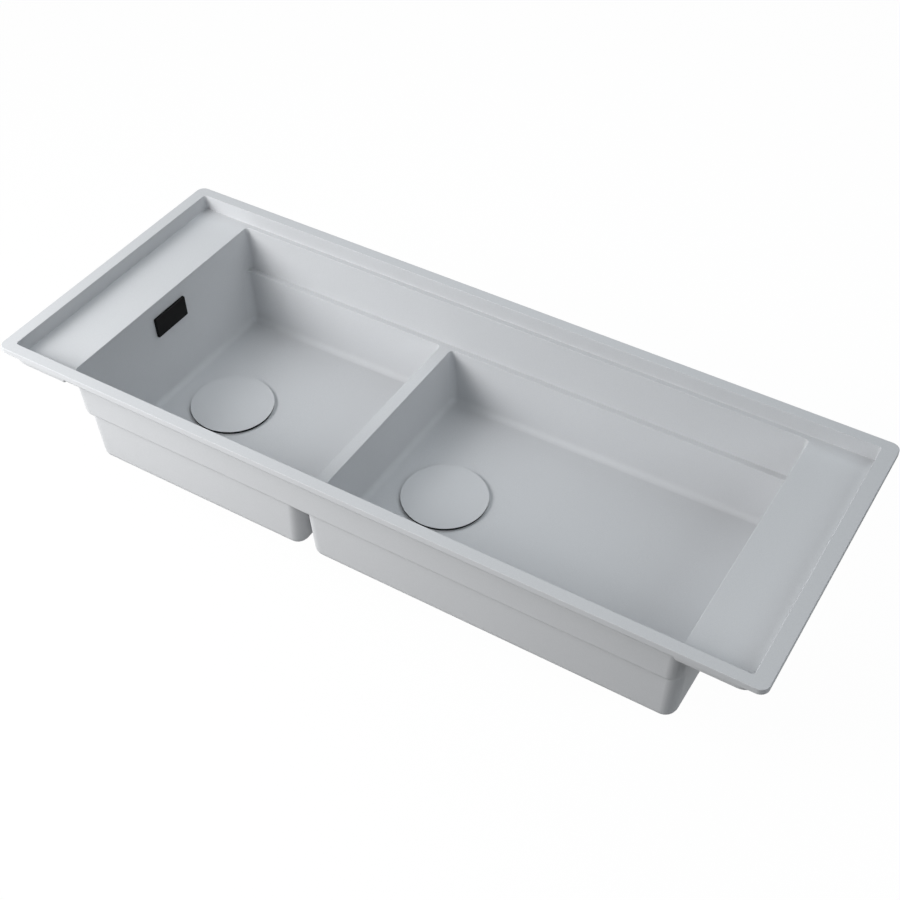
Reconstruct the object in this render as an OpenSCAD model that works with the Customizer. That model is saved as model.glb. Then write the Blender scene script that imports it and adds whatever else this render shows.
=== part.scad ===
// Inset kitchen sink with two bowls and shelves at both ends, in moulded
// composite, with its basket wastes, drain covers and overflow.
// Z = 0 is the worktop: the rim lies on it and all else hangs below it.

/* [Sink outline] */
// Overall length of the sink, along X
sink_len = 1100; // [1000:10:1300]
// Overall width of the sink, along Y
sink_wid = 440; // [420:5:520]
// Height of the rim above the worktop
rim_h = 9; // [6:0.5:14]
// Radius of the rim's four outer corners
rim_corner_r = 12; // [6:1:30]
// Chamfer along the rim's upper edge
rim_edge = 1.5; // [0.5:0.25:2.5]
// Width of the rim at the left end
rim_left_w = 18; // [14:0.5:30]
// Width of the rim at the right end
rim_right_w = 21; // [14:0.5:30]
// Width of the rim along the front and the back
rim_side_w = 16.5; // [14:0.5:24]

/* [Shelves and ledges] */
// Depth of the end shelves below the top of the rim
shelf_depth = 23.5; // [18:0.5:32]
// Width of the left shelf
shelf_left_w = 82; // [60:1:110]
// Width of the right shelf
shelf_right_w = 87; // [60:1:110]
// Width of the upper ledge along the front
ledge_front_w = 17.5; // [8:0.5:20]
// Width of the upper ledge along the back
ledge_back_w = 8.5; // [6:0.5:20]
// Depth of the lower ledge and of the divider's top below the rim
well_depth = 94; // [80:1:110]
// Width of the lower ledge
lower_ledge_w = 9; // [6:0.5:16]
// Corner radius of the recess above the shelves
recess_corner_r = 4; // [2:0.5:10]

/* [Bowls] */
// Depth of the bowls below the top of the rim, at the wastes
bowl_depth = 184; // [170:1:220]
// Place of the divider's middle along X
divider_x = -92; // [-120:1:-60]
// Thickness of the divider at its top
divider_t = 18; // [16:1:30]
// Slope of all walls away from upright, in degrees
draft_deg = 3; // [1.5:0.25:4]
// Thickness of the walls
wall_t = 6.5; // [5:0.5:9]
// Thickness of the floors
floor_t = 7; // [6:0.5:10]
// Radius of the upright corners inside
inner_corner_r = 6; // [4:0.5:9]
// Radius between the floors and the walls
floor_fillet_r = 10; // [7:0.5:14]
// Radius of the upright corners outside
outer_corner_r = 18; // [10:1:24]
// Radius under the upper box
step_edge_r = 10; // [6:1:14]
// Radius around the bases
base_edge_r = 15; // [8:1:20]
// Rise of the left floor from its low end to the divider
left_floor_rise = 2; // [0.5:0.5:4]
// Rise of the right floor from the divider to its far end
right_floor_rise = 5; // [1:0.5:8]

/* [Wastes] */
// Distance from the rim's left end to the left waste's axis
left_waste_in = 204; // [195:1:300]
// Distance from the divider's middle to the right waste's axis
right_waste_in = 110; // [95:1:300]
// Place of both wastes along Y
waste_y = -1.5; // [-20:0.5:20]
// Radius of the waste holes
waste_bore_r = 45; // [44:0.5:50]
// Radius of the steel flanges
flange_r = 56; // [54:0.5:60]
// Depth of the steel cups below the floor
cup_depth = 33; // [28:1:40]
// Radius of the outlet tails
tail_r = 23.9; // [20:0.1:26]
// Length of the outlet tails
tail_len = 26; // [20:1:50]
// Radius of the drain covers
cover_r = 61; // [58:0.5:66]
// Thickness of the drain covers
cover_t = 0.9; // [0.6:0.1:2]
// Rise of the covers' top above the floor
cover_rise = 5.5; // [3.5:0.1:8]

/* [Overflow] */
// Width of the overflow's cover plate
plate_w = 65; // [60:1:80]
// Height of the overflow's cover plate
plate_h = 32; // [28:1:40]
// Depth of the plate's middle below the top of the rim
plate_depth = 62; // [56:1:66]
// Outer radius of the overflow hose
hose_r = 12.5; // [12:0.25:14]
// Bore radius of the overflow hose
hose_bore_r = 9.5; // [9.2:0.1:10]
// Radius of the hose's bend
hose_bend_r = 30; // [24:1:36]

/* [Hidden] */
$fn = 64;

// Overrun of cuts past the faces that they open
cut = 1;
// Facets round a small hole
hole_fn = 16;
// Step between the points of a rounded edge, in degrees
arc_step = 15;
// Thickness of the slices that blends are stretched between
slice = 0.1;
// Facets round a blended corner
blend_fn = 32;
// Free space between pieces that only rest on each other
seat_gap = 0.3;
// Half of the play between a screw and its thread
thread_play = 0.05;

// Places of the two wastes along X
left_waste_x = left_waste_in - sink_len/2;
right_waste_x = divider_x + right_waste_in;

// Levels
z_shelf = rim_h - shelf_depth;
z_well = rim_h - well_depth;
z_floor = rim_h - bowl_depth;
z_base = z_floor - floor_t;
taper = tan(draft_deg);

// The well's outline at the level of the shelves: left, right, front, back
well_top = [-sink_len/2 + rim_left_w + shelf_left_w, sink_len/2 - rim_right_w - shelf_right_w,
    -sink_wid/2 + rim_side_w + ledge_front_w, sink_wid/2 - rim_side_w - ledge_back_w];
// The recess's outline, from the rim down to the shelves
recess = [-sink_len/2 + rim_left_w, sink_len/2 - rim_right_w,
    -sink_wid/2 + rim_side_w, sink_wid/2 - rim_side_w];

// An outline drawn in by d on every side
function drawn_in(o, d) = [o[0] + d, o[1] - d, o[2] + d, o[3] - d];

well_low = drawn_in(well_top, taper*(z_shelf - z_well));
// How far the bowls' end walls stand inside the well's, so that no two faces coincide
end_step = 0.3;
// How far the floors' low ends lie below the level of the wastes' seats
left_floor_drop = left_floor_rise/4;
right_floor_drop = right_floor_rise/5;
left_bowl = [well_low[0] + end_step, divider_x - divider_t/2,
    well_low[2] + lower_ledge_w, well_low[3] - lower_ledge_w];
right_bowl = [divider_x + divider_t/2, well_low[1] - end_step,
    well_low[2] + lower_ledge_w, well_low[3] - lower_ledge_w];

// Trays under the shelves
tray_t = 6.5;
tray_edge_r = 6;
tray_corner_r = 20;
tray_outer = drawn_in(recess, -tray_t);
tray_lap = 3;
// Bevel under the front and back ledges, at the outer wall
ledge_bevel = 11;

// Waste levels and radii
seal_t = 0.8;
lip_t = 1.2;
seat_depth = seal_t + lip_t;
seat_play = 0.5;
boss_drop = 4;
z_boss = z_base - boss_drop;
steel_t = 1;
cup_room = 1.7;
cup_top_r = waste_bore_r - cup_room;
shoulder_w = 2.3;
shoulder_drop = 6;
z_shoulder = z_floor - shoulder_drop;
cup_low_r = cup_top_r - shoulder_w;
z_cup = z_floor - cup_depth;
plate_t = 1.2;
slot_count = 8;
slot_r = 5;
slot_ring_r = 17;
screw_r = 3;
screw_hole_r = 3.3;
screw_head_r = 6;
screw_head_h = 2.5;

// Plastic body under each bowl
// Free space between the steel cup and the plastic body
body_room = 4.2;
body_wall = 3.5;
body_r = cup_top_r + steel_t + body_room + body_wall;
body_flange_w = 4;
body_flange_r = body_r + body_flange_w;
body_flange_t = 4;
boss_margin = 6;
boss_r = body_flange_r + boss_margin;
body_seal_t = 3;
body_seal_w = 7;
body_seal_inset = 2;
body_seal_out_r = body_flange_r - body_seal_inset;
body_seal_in_r = body_seal_out_r - body_seal_w;
body_h = 36;
cone_h = 11;
tail_wall = 3.4;
z_body = z_boss - body_seal_t;
z_body_floor = z_body - body_h;
z_tail = z_body_floor - cone_h;
z_outlet = z_tail - tail_len;
insert_r = 6;
insert_h = 14;
insert_boss_r = 9;
spoke_t = 4;
spoke_h = 9;
spoke_count = 3;
// Turn of the spokes, which keeps them clear of the side inlet
spoke_turn = 60;
insert_drop = 3.6;
z_insert = z_cup - plate_t - insert_drop;
thread_pitch = 1.8;
thread_depth = 0.9;
thread_turns = 5;

// Basket, plug and stem
basket_t = 0.8;
basket_play = 1.5;
basket_lean = 1.5;
basket_rim_play = 0.5;
basket_top_r = cup_low_r - basket_play;
basket_low_r = basket_top_r - basket_lean;
basket_rim_r = cup_top_r - basket_rim_play;
plug_lift = 3;
plug_t = 3.5;
plug_r = 26;
z_plug = z_cup + plug_lift;
z_basket = z_plug + plug_t;
stem_r = 4;
knob_r = 9;
knob_h = 4;
basket_hole_r = 2.2;
floor_ring_r = 30;
floor_ring_pitch = 4.2;
floor_ring_holes = [24, 28];
wall_row_drop = 6;
wall_row_pitch = 6;
wall_hole_count = 28;

// Drain cover
// Free space under the carrier, for the water to pass
carrier_gap = 1;
carrier_t = cover_rise - cover_t - carrier_gap;
carrier_inset = 0.8;
hub_wall = 2;
z_cover = z_floor + cover_rise;
z_carrier = z_cover - cover_t - carrier_t;
hub_lap = 4;
z_knob = z_carrier - knob_h;

// Overflow, in a frame that leans with the left wall
z_over = rim_h - plate_depth;
over_x = well_top[0] + taper*(z_shelf - z_over);
over_y = (well_top[2] + well_top[3])/2;
slot_w = 48;
slot_h = 16;
insert_play = 1;
insert_lip = 4;
insert_lip_t = 1.5;
insert_wall = 2.5;
over_plate_t = 2;
over_plate_stand = 4;
over_skirt_t = 1.5;
over_notch_w = 12;
over_notch_h = 2.5;
over_notch_pitch = 18;
over_screw_r = 1.7;
over_screw_head_r = 3;
over_screw_x = 18;
over_screw_len = 16;
over_seal_t = 1.5;
housing_w = 60;
housing_h = 30;
housing_d = 28;
housing_wall = 2.5;
spigot_r = hose_bore_r - seat_gap;
spigot_wall = 2;
spigot_bore_r = spigot_r - spigot_wall;
spigot_len = 24;
spigot_lap = 20;
rib_pitch = 5;
rib_w = 2.5;
rib_depth = 1.5;
nut_wall = 3;
nut_len = 12;
nut_grips = 12;
// Free space between a nut and the wall or the flange beside it
nut_room = 1;
nut_r = hose_r + seat_gap + nut_wall;
hose_x = over_x - wall_t - nut_r - nut_room;
z_spigot = z_over - housing_h/2 - taper*(wall_t + over_seal_t + housing_d);
z_hose_run = z_body - body_flange_t - nut_r - nut_room;
inlet_x = left_waste_x - body_r;
// How far the side inlets stand off the wastes' axes, in line with the overflow
inlet_dy = over_y - waste_y;
cap_wall = 2;

sink_color = [0.80, 0.81, 0.82];
steel_color = [0.72, 0.73, 0.74];
rubber_color = [0.12, 0.12, 0.13];
plastic_color = [0.16, 0.16, 0.17];
black_color = [0.03, 0.03, 0.03];
brass_color = [0.78, 0.64, 0.34];

// Flat shape with round corners: o is left, right, front, back
module round_rect(o, r) {
    translate([o[0] + r, o[2]]) square([o[1] - o[0] - 2*r, o[3] - o[2]]);
    translate([o[0], o[2] + r]) square([o[1] - o[0], o[3] - o[2] - 2*r]);
    for (x = [o[0] + r, o[1] - r], y = [o[2] + r, o[3] - r]) translate([x, y]) circle(r);
}

// Upright block with round corners from z0 up to z1
module block(o, r, z0, z1) {
    translate([0, 0, z0]) linear_extrude(z1 - z0) round_rect(o, r);
}

// Tub shape: outline o at z_top, drawn in by the draft down to z_low, with a round lower edge.
// rise lifts the right-hand end of its underside.
module tub(o, r, z_top, z_low, edge_r, rise = 0) {
    low = drawn_in(o, taper*(z_top - z_low));
    hull() {
        for (x = [o[0] + r, o[1] - r], y = [o[2] + r, o[3] - r])
            translate([x, y, z_top - slice]) cylinder(r = r, h = slice, $fn = blend_fn);
        for (y = [low[2] + edge_r, low[3] - edge_r]) {
            translate([low[0] + edge_r, y, z_low + edge_r]) sphere(edge_r, $fn = blend_fn);
            translate([low[1] - edge_r, y, z_low + rise + edge_r]) sphere(edge_r, $fn = blend_fn);
        }
    }
}

// Rim slab with a chamfered upper edge
module rim() {
    outline = [-sink_len/2, sink_len/2, -sink_wid/2, sink_wid/2];
    block(outline, rim_corner_r, 0, rim_h - rim_edge);
    hull() {
        block(outline, rim_corner_r, rim_h - rim_edge - slice, rim_h - rim_edge);
        block(drawn_in(outline, rim_edge), rim_corner_r - rim_edge, rim_h - slice, rim_h);
    }
}

// Cross-section of a tray, looking along X, with round lower edges
module tray_section(z_low, r) {
    y0 = tray_outer[2];
    y1 = tray_outer[3];
    polygon(concat([[y0, rim_h/2]],
        [for (a = [180:arc_step:270]) [y0 + r + r*cos(a), z_low + r + r*sin(a)]],
        [for (a = [270:arc_step:360]) [y1 - r + r*cos(a), z_low + r + r*sin(a)]],
        [[y1, rim_h/2]]));
}

// A tray's body from x0 to x1, drawn from its section
module tray_bar(x0, x1, r) {
    translate([x0, 0, 0]) rotate([90, 0, 90]) linear_extrude(x1 - x0)
        tray_section(z_shelf - tray_t, r);
}

// Trays under the shelves and the bevelled ledges between them
module trays() {
    intersection() {
        tray_bar(tray_outer[0], well_top[0] + tray_lap, tray_edge_r);
        block(tray_outer, tray_corner_r, z_shelf - tray_t - cut, rim_h/2);
    }
    intersection() {
        tray_bar(well_top[1] - tray_lap, tray_outer[1], tray_edge_r);
        block(tray_outer, tray_corner_r, z_shelf - tray_t - cut, rim_h/2);
    }
    tray_bar(well_top[0] + tray_lap/2, well_top[1] - tray_lap/2, ledge_bevel);
}

// Round hole through the floor and the seat round it, for one waste
module waste_cut(x) {
    translate([x, waste_y, z_boss - cut])
        cylinder(r = waste_bore_r, h = z_floor - z_boss + floor_fillet_r);
    translate([x, waste_y, z_floor - seat_depth])
        cylinder(r = flange_r + seat_play, h = seat_depth + floor_fillet_r);
}

// Placement in the frame of the leaning left wall, X out of the wall into the bowl
module on_left_wall() {
    translate([over_x, over_y, z_over]) rotate([0, -draft_deg, 0]) children();
}

// Upright slot shape across the wall, width along Y, from x0 to x1
module wall_slot(w, h, x0, x1) {
    translate([x0, 0, 0]) rotate([0, 90, 0]) {
        for (s = [-1, 1]) translate([0, s*(w - h)/2, 0]) cylinder(r = h/2, h = x1 - x0);
        translate([-h/2, -(w - h)/2, 0]) cube([h, w - h, x1 - x0]);
    }
}

module sink_body() {
    color(sink_color) difference() {
        union() {
            rim();
            trays();
            tub(drawn_in(well_top, -wall_t - taper*(rim_h/2 - z_shelf)), outer_corner_r,
                rim_h/2, z_well - wall_t, step_edge_r);
            for (o = [left_bowl, right_bowl])
                tub(drawn_in(o, -wall_t), outer_corner_r, z_well, z_base, base_edge_r);
            for (x = [left_waste_x, right_waste_x])
                translate([x, waste_y, z_boss]) cylinder(r = boss_r, h = boss_drop + floor_t/2);
        }
        block(recess, recess_corner_r, z_shelf, rim_h + cut);
        tub(drawn_in(well_top, -taper*cut), inner_corner_r, z_shelf + cut, z_well, slice);
        tub(drawn_in(left_bowl, -taper*cut), inner_corner_r, z_well + cut,
            z_floor - left_floor_drop, floor_fillet_r, left_floor_rise);
        tub(drawn_in(right_bowl, -taper*cut), inner_corner_r, z_well + cut,
            z_floor - right_floor_drop, floor_fillet_r, right_floor_rise);
        waste_cut(left_waste_x);
        waste_cut(right_waste_x);
        on_left_wall() wall_slot(slot_w, slot_h, -2*wall_t, wall_t);
    }
}

// Rubber ring between the floor and the steel lip
module flange_seal(x) {
    color(rubber_color) translate([x, waste_y, z_floor - seat_depth]) difference() {
        cylinder(r = flange_r, h = seal_t);
        translate([0, 0, -cut]) cylinder(r = waste_bore_r + seat_play, h = seal_t + 2*cut);
    }
}

// Steel lip and cup, with its slotted plate
module waste_flange(x) {
    color(steel_color) translate([x, waste_y, 0]) difference() {
        rotate_extrude() polygon([
            [0, z_cup - plate_t], [cup_low_r + steel_t, z_cup - plate_t],
            [cup_low_r + steel_t, z_shoulder - steel_t], [cup_top_r + steel_t, z_shoulder - steel_t],
            [cup_top_r + steel_t, z_floor - lip_t], [flange_r, z_floor - lip_t],
            [flange_r, z_floor - lip_t/2], [flange_r - lip_t/2, z_floor],
            [cup_top_r + steel_t, z_floor], [cup_top_r, z_floor - steel_t],
            [cup_top_r, z_shoulder], [cup_low_r, z_shoulder], [cup_low_r, z_cup], [0, z_cup]]);
        translate([0, 0, z_cup - plate_t - cut]) {
            cylinder(r = screw_hole_r, h = plate_t + 2*cut);
            for (i = [0:slot_count - 1]) rotate(i*360/slot_count)
                translate([slot_ring_r, 0, 0]) cylinder(r = slot_r, h = plate_t + 2*cut);
        }
    }
}

// Thick rubber ring between the boss under the floor and the plastic body
module body_seal(x) {
    color(rubber_color) translate([x, waste_y, z_body]) difference() {
        cylinder(r = body_seal_out_r, h = body_seal_t);
        translate([0, 0, -cut]) cylinder(r = body_seal_in_r, h = body_seal_t + 2*cut);
    }
}

// Plastic body with its side inlet and the boss that takes the screw
module waste_body(x) {
    color(plastic_color) translate([x, waste_y, 0]) {
        difference() {
            union() {
                rotate_extrude() polygon([[0, z_tail], [tail_r, z_tail], [body_r, z_body_floor],
                    [body_r, z_body - body_flange_t], [body_flange_r, z_body - body_flange_t],
                    [body_flange_r, z_body], [0, z_body]]);
                translate([-body_r - spigot_len, inlet_dy, z_hose_run]) rotate([0, 90, 0])
                    cylinder(r = spigot_r, h = spigot_len + body_wall/2);
            }
            rotate_extrude() polygon([[0, z_tail - cut], [tail_r - tail_wall, z_tail - cut],
                [tail_r - tail_wall, z_tail], [body_r - body_wall, z_body_floor + body_wall/2],
                [body_r - body_wall, z_body + cut], [0, z_body + cut]]);
            translate([-body_r - spigot_len - cut, inlet_dy, z_hose_run]) rotate([0, 90, 0])
                cylinder(r = spigot_bore_r, h = spigot_len + 2*body_wall + cut);
        }
        difference() {
            union() {
                translate([0, 0, z_insert - insert_h]) cylinder(r = insert_boss_r, h = insert_h);
                for (i = [0:spoke_count - 1]) rotate(spoke_turn + i*360/spoke_count)
                    translate([0, -spoke_t/2, z_insert - insert_h])
                        cube([body_r - body_wall/2, spoke_t, spoke_h]);
            }
            translate([0, 0, z_insert - insert_h - cut]) cylinder(r = insert_r, h = insert_h + 2*cut);
        }
    }
}

// Threaded tail under the body's cone, for the nut of the waste pipe
module waste_tail(x) {
    bore = tail_r - tail_wall;
    color(plastic_color) translate([x, waste_y, 0]) rotate_extrude() polygon(concat(
        [[bore, z_outlet], [tail_r - thread_depth, z_outlet]],
        [for (i = [0:thread_turns - 1], p = [[0, 1], [1, 2]])
            [tail_r - p[0]*thread_depth, z_outlet + thread_pitch*(i + p[1]/2)]],
        [[tail_r, z_outlet + thread_pitch*(thread_turns + 1/2)], [tail_r, z_tail], [bore, z_tail]]));
}

// Brass sleeve moulded into the body, which the centre screw bites in
module thread_insert(x) {
    color(brass_color) translate([x, waste_y, z_insert - insert_h]) difference() {
        cylinder(r = insert_r, h = insert_h);
        translate([0, 0, -cut]) cylinder(r = screw_r + thread_play, h = insert_h + 2*cut);
    }
}

// Screw that pulls the steel cup and the plastic body together on the floor
module centre_screw(x) {
    color(steel_color) translate([x, waste_y, 0]) difference() {
        union() {
            translate([0, 0, z_cup]) cylinder(r = screw_head_r, h = screw_head_h);
            translate([0, 0, z_insert - insert_h + screw_r])
                cylinder(r = screw_r, h = z_cup - z_insert + insert_h - screw_r + cut);
        }
        translate([-screw_head_r - cut, -screw_r/4, z_cup + screw_head_h/2])
            cube([2*(screw_head_r + cut), screw_r/2, screw_head_h]);
    }
}

// Perforated steel basket
module basket(x) {
    color(steel_color) translate([x, waste_y, 0]) difference() {
        rotate_extrude() polygon([
            [0, z_basket], [basket_low_r, z_basket],
            [basket_top_r, z_shoulder + seat_gap], [basket_rim_r, z_shoulder + seat_gap],
            [basket_rim_r, z_shoulder + seat_gap + basket_t],
            [basket_top_r - basket_t, z_shoulder + seat_gap + basket_t],
            [basket_low_r - basket_t, z_basket + basket_t], [0, z_basket + basket_t]]);
        for (k = [0, 1], i = [0:floor_ring_holes[k] - 1]) rotate(i*360/floor_ring_holes[k])
            translate([floor_ring_r + k*floor_ring_pitch, 0, z_basket - cut])
                cylinder(r = basket_hole_r, h = basket_t + 2*cut, $fn = hole_fn);
        for (k = [0, 1], i = [0:wall_hole_count - 1])
            rotate((i + k/2)*360/wall_hole_count)
                translate([basket_low_r - 2*cut, 0, z_shoulder - wall_row_drop - k*wall_row_pitch])
                    rotate([0, 90, 0])
                        cylinder(r = basket_hole_r, h = basket_top_r - basket_low_r + 4*cut, $fn = hole_fn);
    }
}

// Rubber plug under the basket
module basket_plug(x) {
    color(rubber_color) translate([x, waste_y, 0]) rotate_extrude() polygon([
        [0, z_plug], [plug_r - plug_t/2, z_plug], [plug_r, z_plug + plug_t/2],
        [plug_r, z_basket], [0, z_basket]]);
}

// Stem and knob that lift the basket out
module basket_stem(x) {
    z_foot = z_basket + basket_t;
    color(steel_color) translate([x, waste_y, 0]) rotate_extrude() polygon([
        [0, z_foot], [knob_r, z_foot], [knob_r, z_foot + stem_r/2], [stem_r, z_foot + stem_r],
        [stem_r, z_knob - knob_h], [knob_r, z_knob - knob_h/2], [knob_r, z_knob - seat_gap],
        [0, z_knob - seat_gap]]);
}

// Dark carrier under the drain cover, with the hub that fits over the knob
module cover_carrier(x) {
    color(black_color) translate([x, waste_y, 0]) rotate_extrude() polygon([
        [0, z_knob], [knob_r + seat_gap, z_knob], [knob_r + seat_gap, z_knob - hub_lap],
        [knob_r + seat_gap + hub_wall, z_knob - hub_lap], [knob_r + seat_gap + hub_wall, z_carrier],
        [cover_r - carrier_inset, z_carrier], [cover_r - carrier_inset, z_carrier + carrier_t],
        [0, z_carrier + carrier_t]]);
}

// Flat round cover in the sink's colour
module drain_cover(x) {
    color(sink_color) translate([x, waste_y, 0]) rotate_extrude() polygon([
        [0, z_cover - cover_t], [cover_r - cover_t/3, z_cover - cover_t],
        [cover_r, z_cover - cover_t*2/3], [cover_r, z_cover - cover_t/3],
        [cover_r - cover_t/3, z_cover], [0, z_cover]]);
}

// Cap on the side inlet of the waste without an overflow
module inlet_cap() {
    reach = right_waste_x - body_r - spigot_len;
    color(plastic_color) translate([reach - seat_gap - cap_wall, over_y, z_hose_run])
        rotate([0, 90, 0]) difference() {
            cylinder(r = spigot_r + seat_gap + cap_wall, h = nut_len + cap_wall);
            translate([0, 0, cap_wall]) cylinder(r = spigot_r + seat_gap, h = nut_len + cut);
        }
}

// Rectangular block in the leaning frame: width along Y, height up the wall
module wall_block(w, h, x0, x1) {
    translate([x0, -w/2, -h/2]) cube([x1 - x0, w, h]);
}

// Plain plate over the overflow, open along its lower edge
module overflow_cover() {
    color(black_color) on_left_wall() difference() {
        wall_block(plate_w, plate_h, seat_gap, over_plate_stand);
        wall_block(plate_w - 2*over_skirt_t, plate_h - 2*over_skirt_t,
            seat_gap - cut, over_plate_stand - over_plate_t);
        for (s = [-1, 0, 1]) translate([seat_gap - cut, s*over_notch_pitch - over_notch_w/2,
            -plate_h/2 - cut]) cube([over_notch_h - seat_gap, over_notch_w, over_skirt_t + 2*cut]);
    }
}

// Frame inside the bowl whose neck lines the slot
module overflow_insert() {
    lip_w = slot_w + insert_lip;
    lip_h = slot_h + insert_lip;
    color(plastic_color) on_left_wall() difference() {
        union() {
            wall_slot(lip_w, lip_h, seat_gap/2, insert_lip_t);
            wall_slot(slot_w - insert_play, slot_h - insert_play, -wall_t, seat_gap);
        }
        wall_slot(slot_w/2, slot_h - insert_play - 2*insert_wall, -wall_t - cut, insert_lip_t + cut);
        for (s = [-1, 1]) translate([-wall_t - cut, s*over_screw_x, 0]) rotate([0, 90, 0])
            cylinder(r = over_screw_r + thread_play, h = wall_t + insert_lip_t + 2*cut);
    }
}

// The pair of screws that clamps the wall between insert and housing
module overflow_screws() {
    color(steel_color) on_left_wall() for (s = [-1, 1]) translate([0, s*over_screw_x, 0]) {
        translate([insert_lip_t - over_screw_len, 0, 0]) rotate([0, 90, 0])
            cylinder(r = over_screw_r, h = over_screw_len + over_screw_r/4);
        translate([insert_lip_t, 0, 0]) rotate([0, 90, 0])
            cylinder(r1 = over_screw_head_r, r2 = over_screw_r, h = over_plate_t/4);
    }
}

// Gasket between the outside of the wall and the housing
module overflow_seal() {
    color(rubber_color) on_left_wall() difference() {
        wall_slot(housing_w, housing_h, -wall_t - over_seal_t, -wall_t);
        wall_slot(slot_w, slot_h, -wall_t - over_seal_t - cut, -wall_t + cut);
    }
}

// Housing outside the wall, which turns the water down into the hose
module overflow_housing() {
    x_face = -wall_t - over_seal_t;
    color(plastic_color) difference() {
        union() {
            on_left_wall() {
                wall_slot(housing_w, housing_h, x_face - housing_wall, x_face);
                wall_slot(housing_w - housing_h/3, housing_h,
                    x_face - housing_d, x_face - housing_wall);
            }
            translate([hose_x, over_y, z_spigot - spigot_len])
                cylinder(r = spigot_r, h = spigot_len + housing_wall);
        }
        on_left_wall() {
            wall_slot(slot_w/2, slot_h - 2*housing_wall, x_face - housing_wall - cut, x_face + cut);
            wall_slot(slot_w/2, housing_h - 2*housing_wall,
                x_face - housing_d + housing_wall, x_face - 2*housing_wall);
            for (s = [-1, 1]) translate([x_face + cut, s*over_screw_x, 0]) rotate([0, -90, 0])
                cylinder(r = over_screw_r + thread_play, h = over_screw_len);
        }
        translate([hose_x, over_y, z_spigot - spigot_len - cut])
            cylinder(r = spigot_bore_r, h = spigot_len + 2*housing_wall + cut);
    }
}

// Half section of one straight ribbed run, from the axis out, from z0 up to z1
function ribbed(z0, z1) = let (n = floor((z1 - z0)/rib_pitch)) concat(
    [[0, z0], [hose_r - rib_depth, z0]],
    [for (i = [0:n - 1], p = [[0, 0], [rib_depth, rib_w/4], [rib_depth, rib_w*3/4], [0, rib_w]])
        [hose_r - rib_depth + p[0], z0 + (rib_pitch - rib_w)/2 + i*rib_pitch + p[1]]],
    [[hose_r - rib_depth, z1], [0, z1]]);

// Quarter bend of radius r between the hose's two runs
module bend(r) {
    rotate([90, 0, 0]) rotate([0, 0, 180])
        rotate_extrude(angle = 90) translate([hose_bend_r, 0]) circle(r);
}

// Ribbed hose from the housing down and across to the left waste body
module overflow_hose() {
    z_bend = z_hose_run + hose_bend_r;
    z_end = z_spigot - spigot_len + spigot_lap;
    run_x = hose_x + hose_bend_r;
    run_len = inlet_x - spigot_len + spigot_lap - run_x;
    color(plastic_color) translate([0, over_y, 0]) difference() {
        union() {
            translate([hose_x, 0, 0]) rotate_extrude() polygon(ribbed(z_bend, z_end));
            translate([run_x, 0, z_bend]) {
                bend(hose_r - rib_depth);
                for (a = [arc_step:arc_step:90 - arc_step]) rotate([0, -a, 0]) translate([-hose_bend_r, 0, 0])
                    cylinder(r = hose_r, h = rib_w, center = true);
            }
            translate([run_x, 0, z_hose_run]) rotate([0, 90, 0])
                rotate_extrude() polygon(ribbed(0, run_len));
        }
        translate([hose_x, 0, z_bend]) cylinder(r = hose_bore_r, h = z_end - z_bend + cut);
        translate([run_x, 0, z_bend]) bend(hose_bore_r);
        translate([run_x, 0, z_hose_run]) rotate([0, 90, 0])
            cylinder(r = hose_bore_r, h = run_len + cut);
    }
}

// One union nut round a hose end
module hose_nut() {
    difference() {
        cylinder(r = nut_r, h = nut_len);
        translate([0, 0, -cut]) cylinder(r = hose_r + seat_gap, h = nut_len + 2*cut);
        for (i = [0:nut_grips - 1]) rotate(i*360/nut_grips) translate([nut_r, 0, -cut])
            cylinder(r = nut_wall/2, h = nut_len + 2*cut);
    }
}

// The nuts at both ends of the hose
module hose_nuts() {
    color(plastic_color) {
        translate([hose_x, over_y, z_spigot - nut_len - seat_gap]) hose_nut();
        translate([inlet_x - nut_len - seat_gap, over_y, z_hose_run]) rotate([0, 90, 0]) hose_nut();
    }
}

sink_body();
flange_seal(left_waste_x);  // left_flange_seal
waste_flange(left_waste_x);  // left_waste_flange
body_seal(left_waste_x);  // left_body_seal
waste_body(left_waste_x);  // left_waste_body
waste_tail(left_waste_x);  // left_waste_tail
thread_insert(left_waste_x);  // left_thread_insert
centre_screw(left_waste_x);  // left_centre_screw
basket(left_waste_x);  // left_basket
basket_plug(left_waste_x);  // left_basket_plug
basket_stem(left_waste_x);  // left_basket_stem
cover_carrier(left_waste_x);  // left_cover_carrier
drain_cover(left_waste_x);  // left_drain_cover
flange_seal(right_waste_x);  // right_flange_seal
waste_flange(right_waste_x);  // right_waste_flange
body_seal(right_waste_x);  // right_body_seal
waste_body(right_waste_x);  // right_waste_body
waste_tail(right_waste_x);  // right_waste_tail
thread_insert(right_waste_x);  // right_thread_insert
centre_screw(right_waste_x);  // right_centre_screw
basket(right_waste_x);  // right_basket
basket_plug(right_waste_x);  // right_basket_plug
basket_stem(right_waste_x);  // right_basket_stem
cover_carrier(right_waste_x);  // right_cover_carrier
drain_cover(right_waste_x);  // right_drain_cover
inlet_cap();  // right_inlet_cap
overflow_cover();
overflow_insert();
overflow_screws();
overflow_seal();
overflow_housing();
overflow_hose();
hose_nuts();
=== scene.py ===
"""Looks of an inset kitchen sink: two bowls in a stepped well between two sunken end shelves."""

import logging
import math
from dataclasses import dataclass, field
from enum import Enum
from typing import Iterable, Sequence

import bmesh
import bpy
from mathutils import Matrix, Vector


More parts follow.
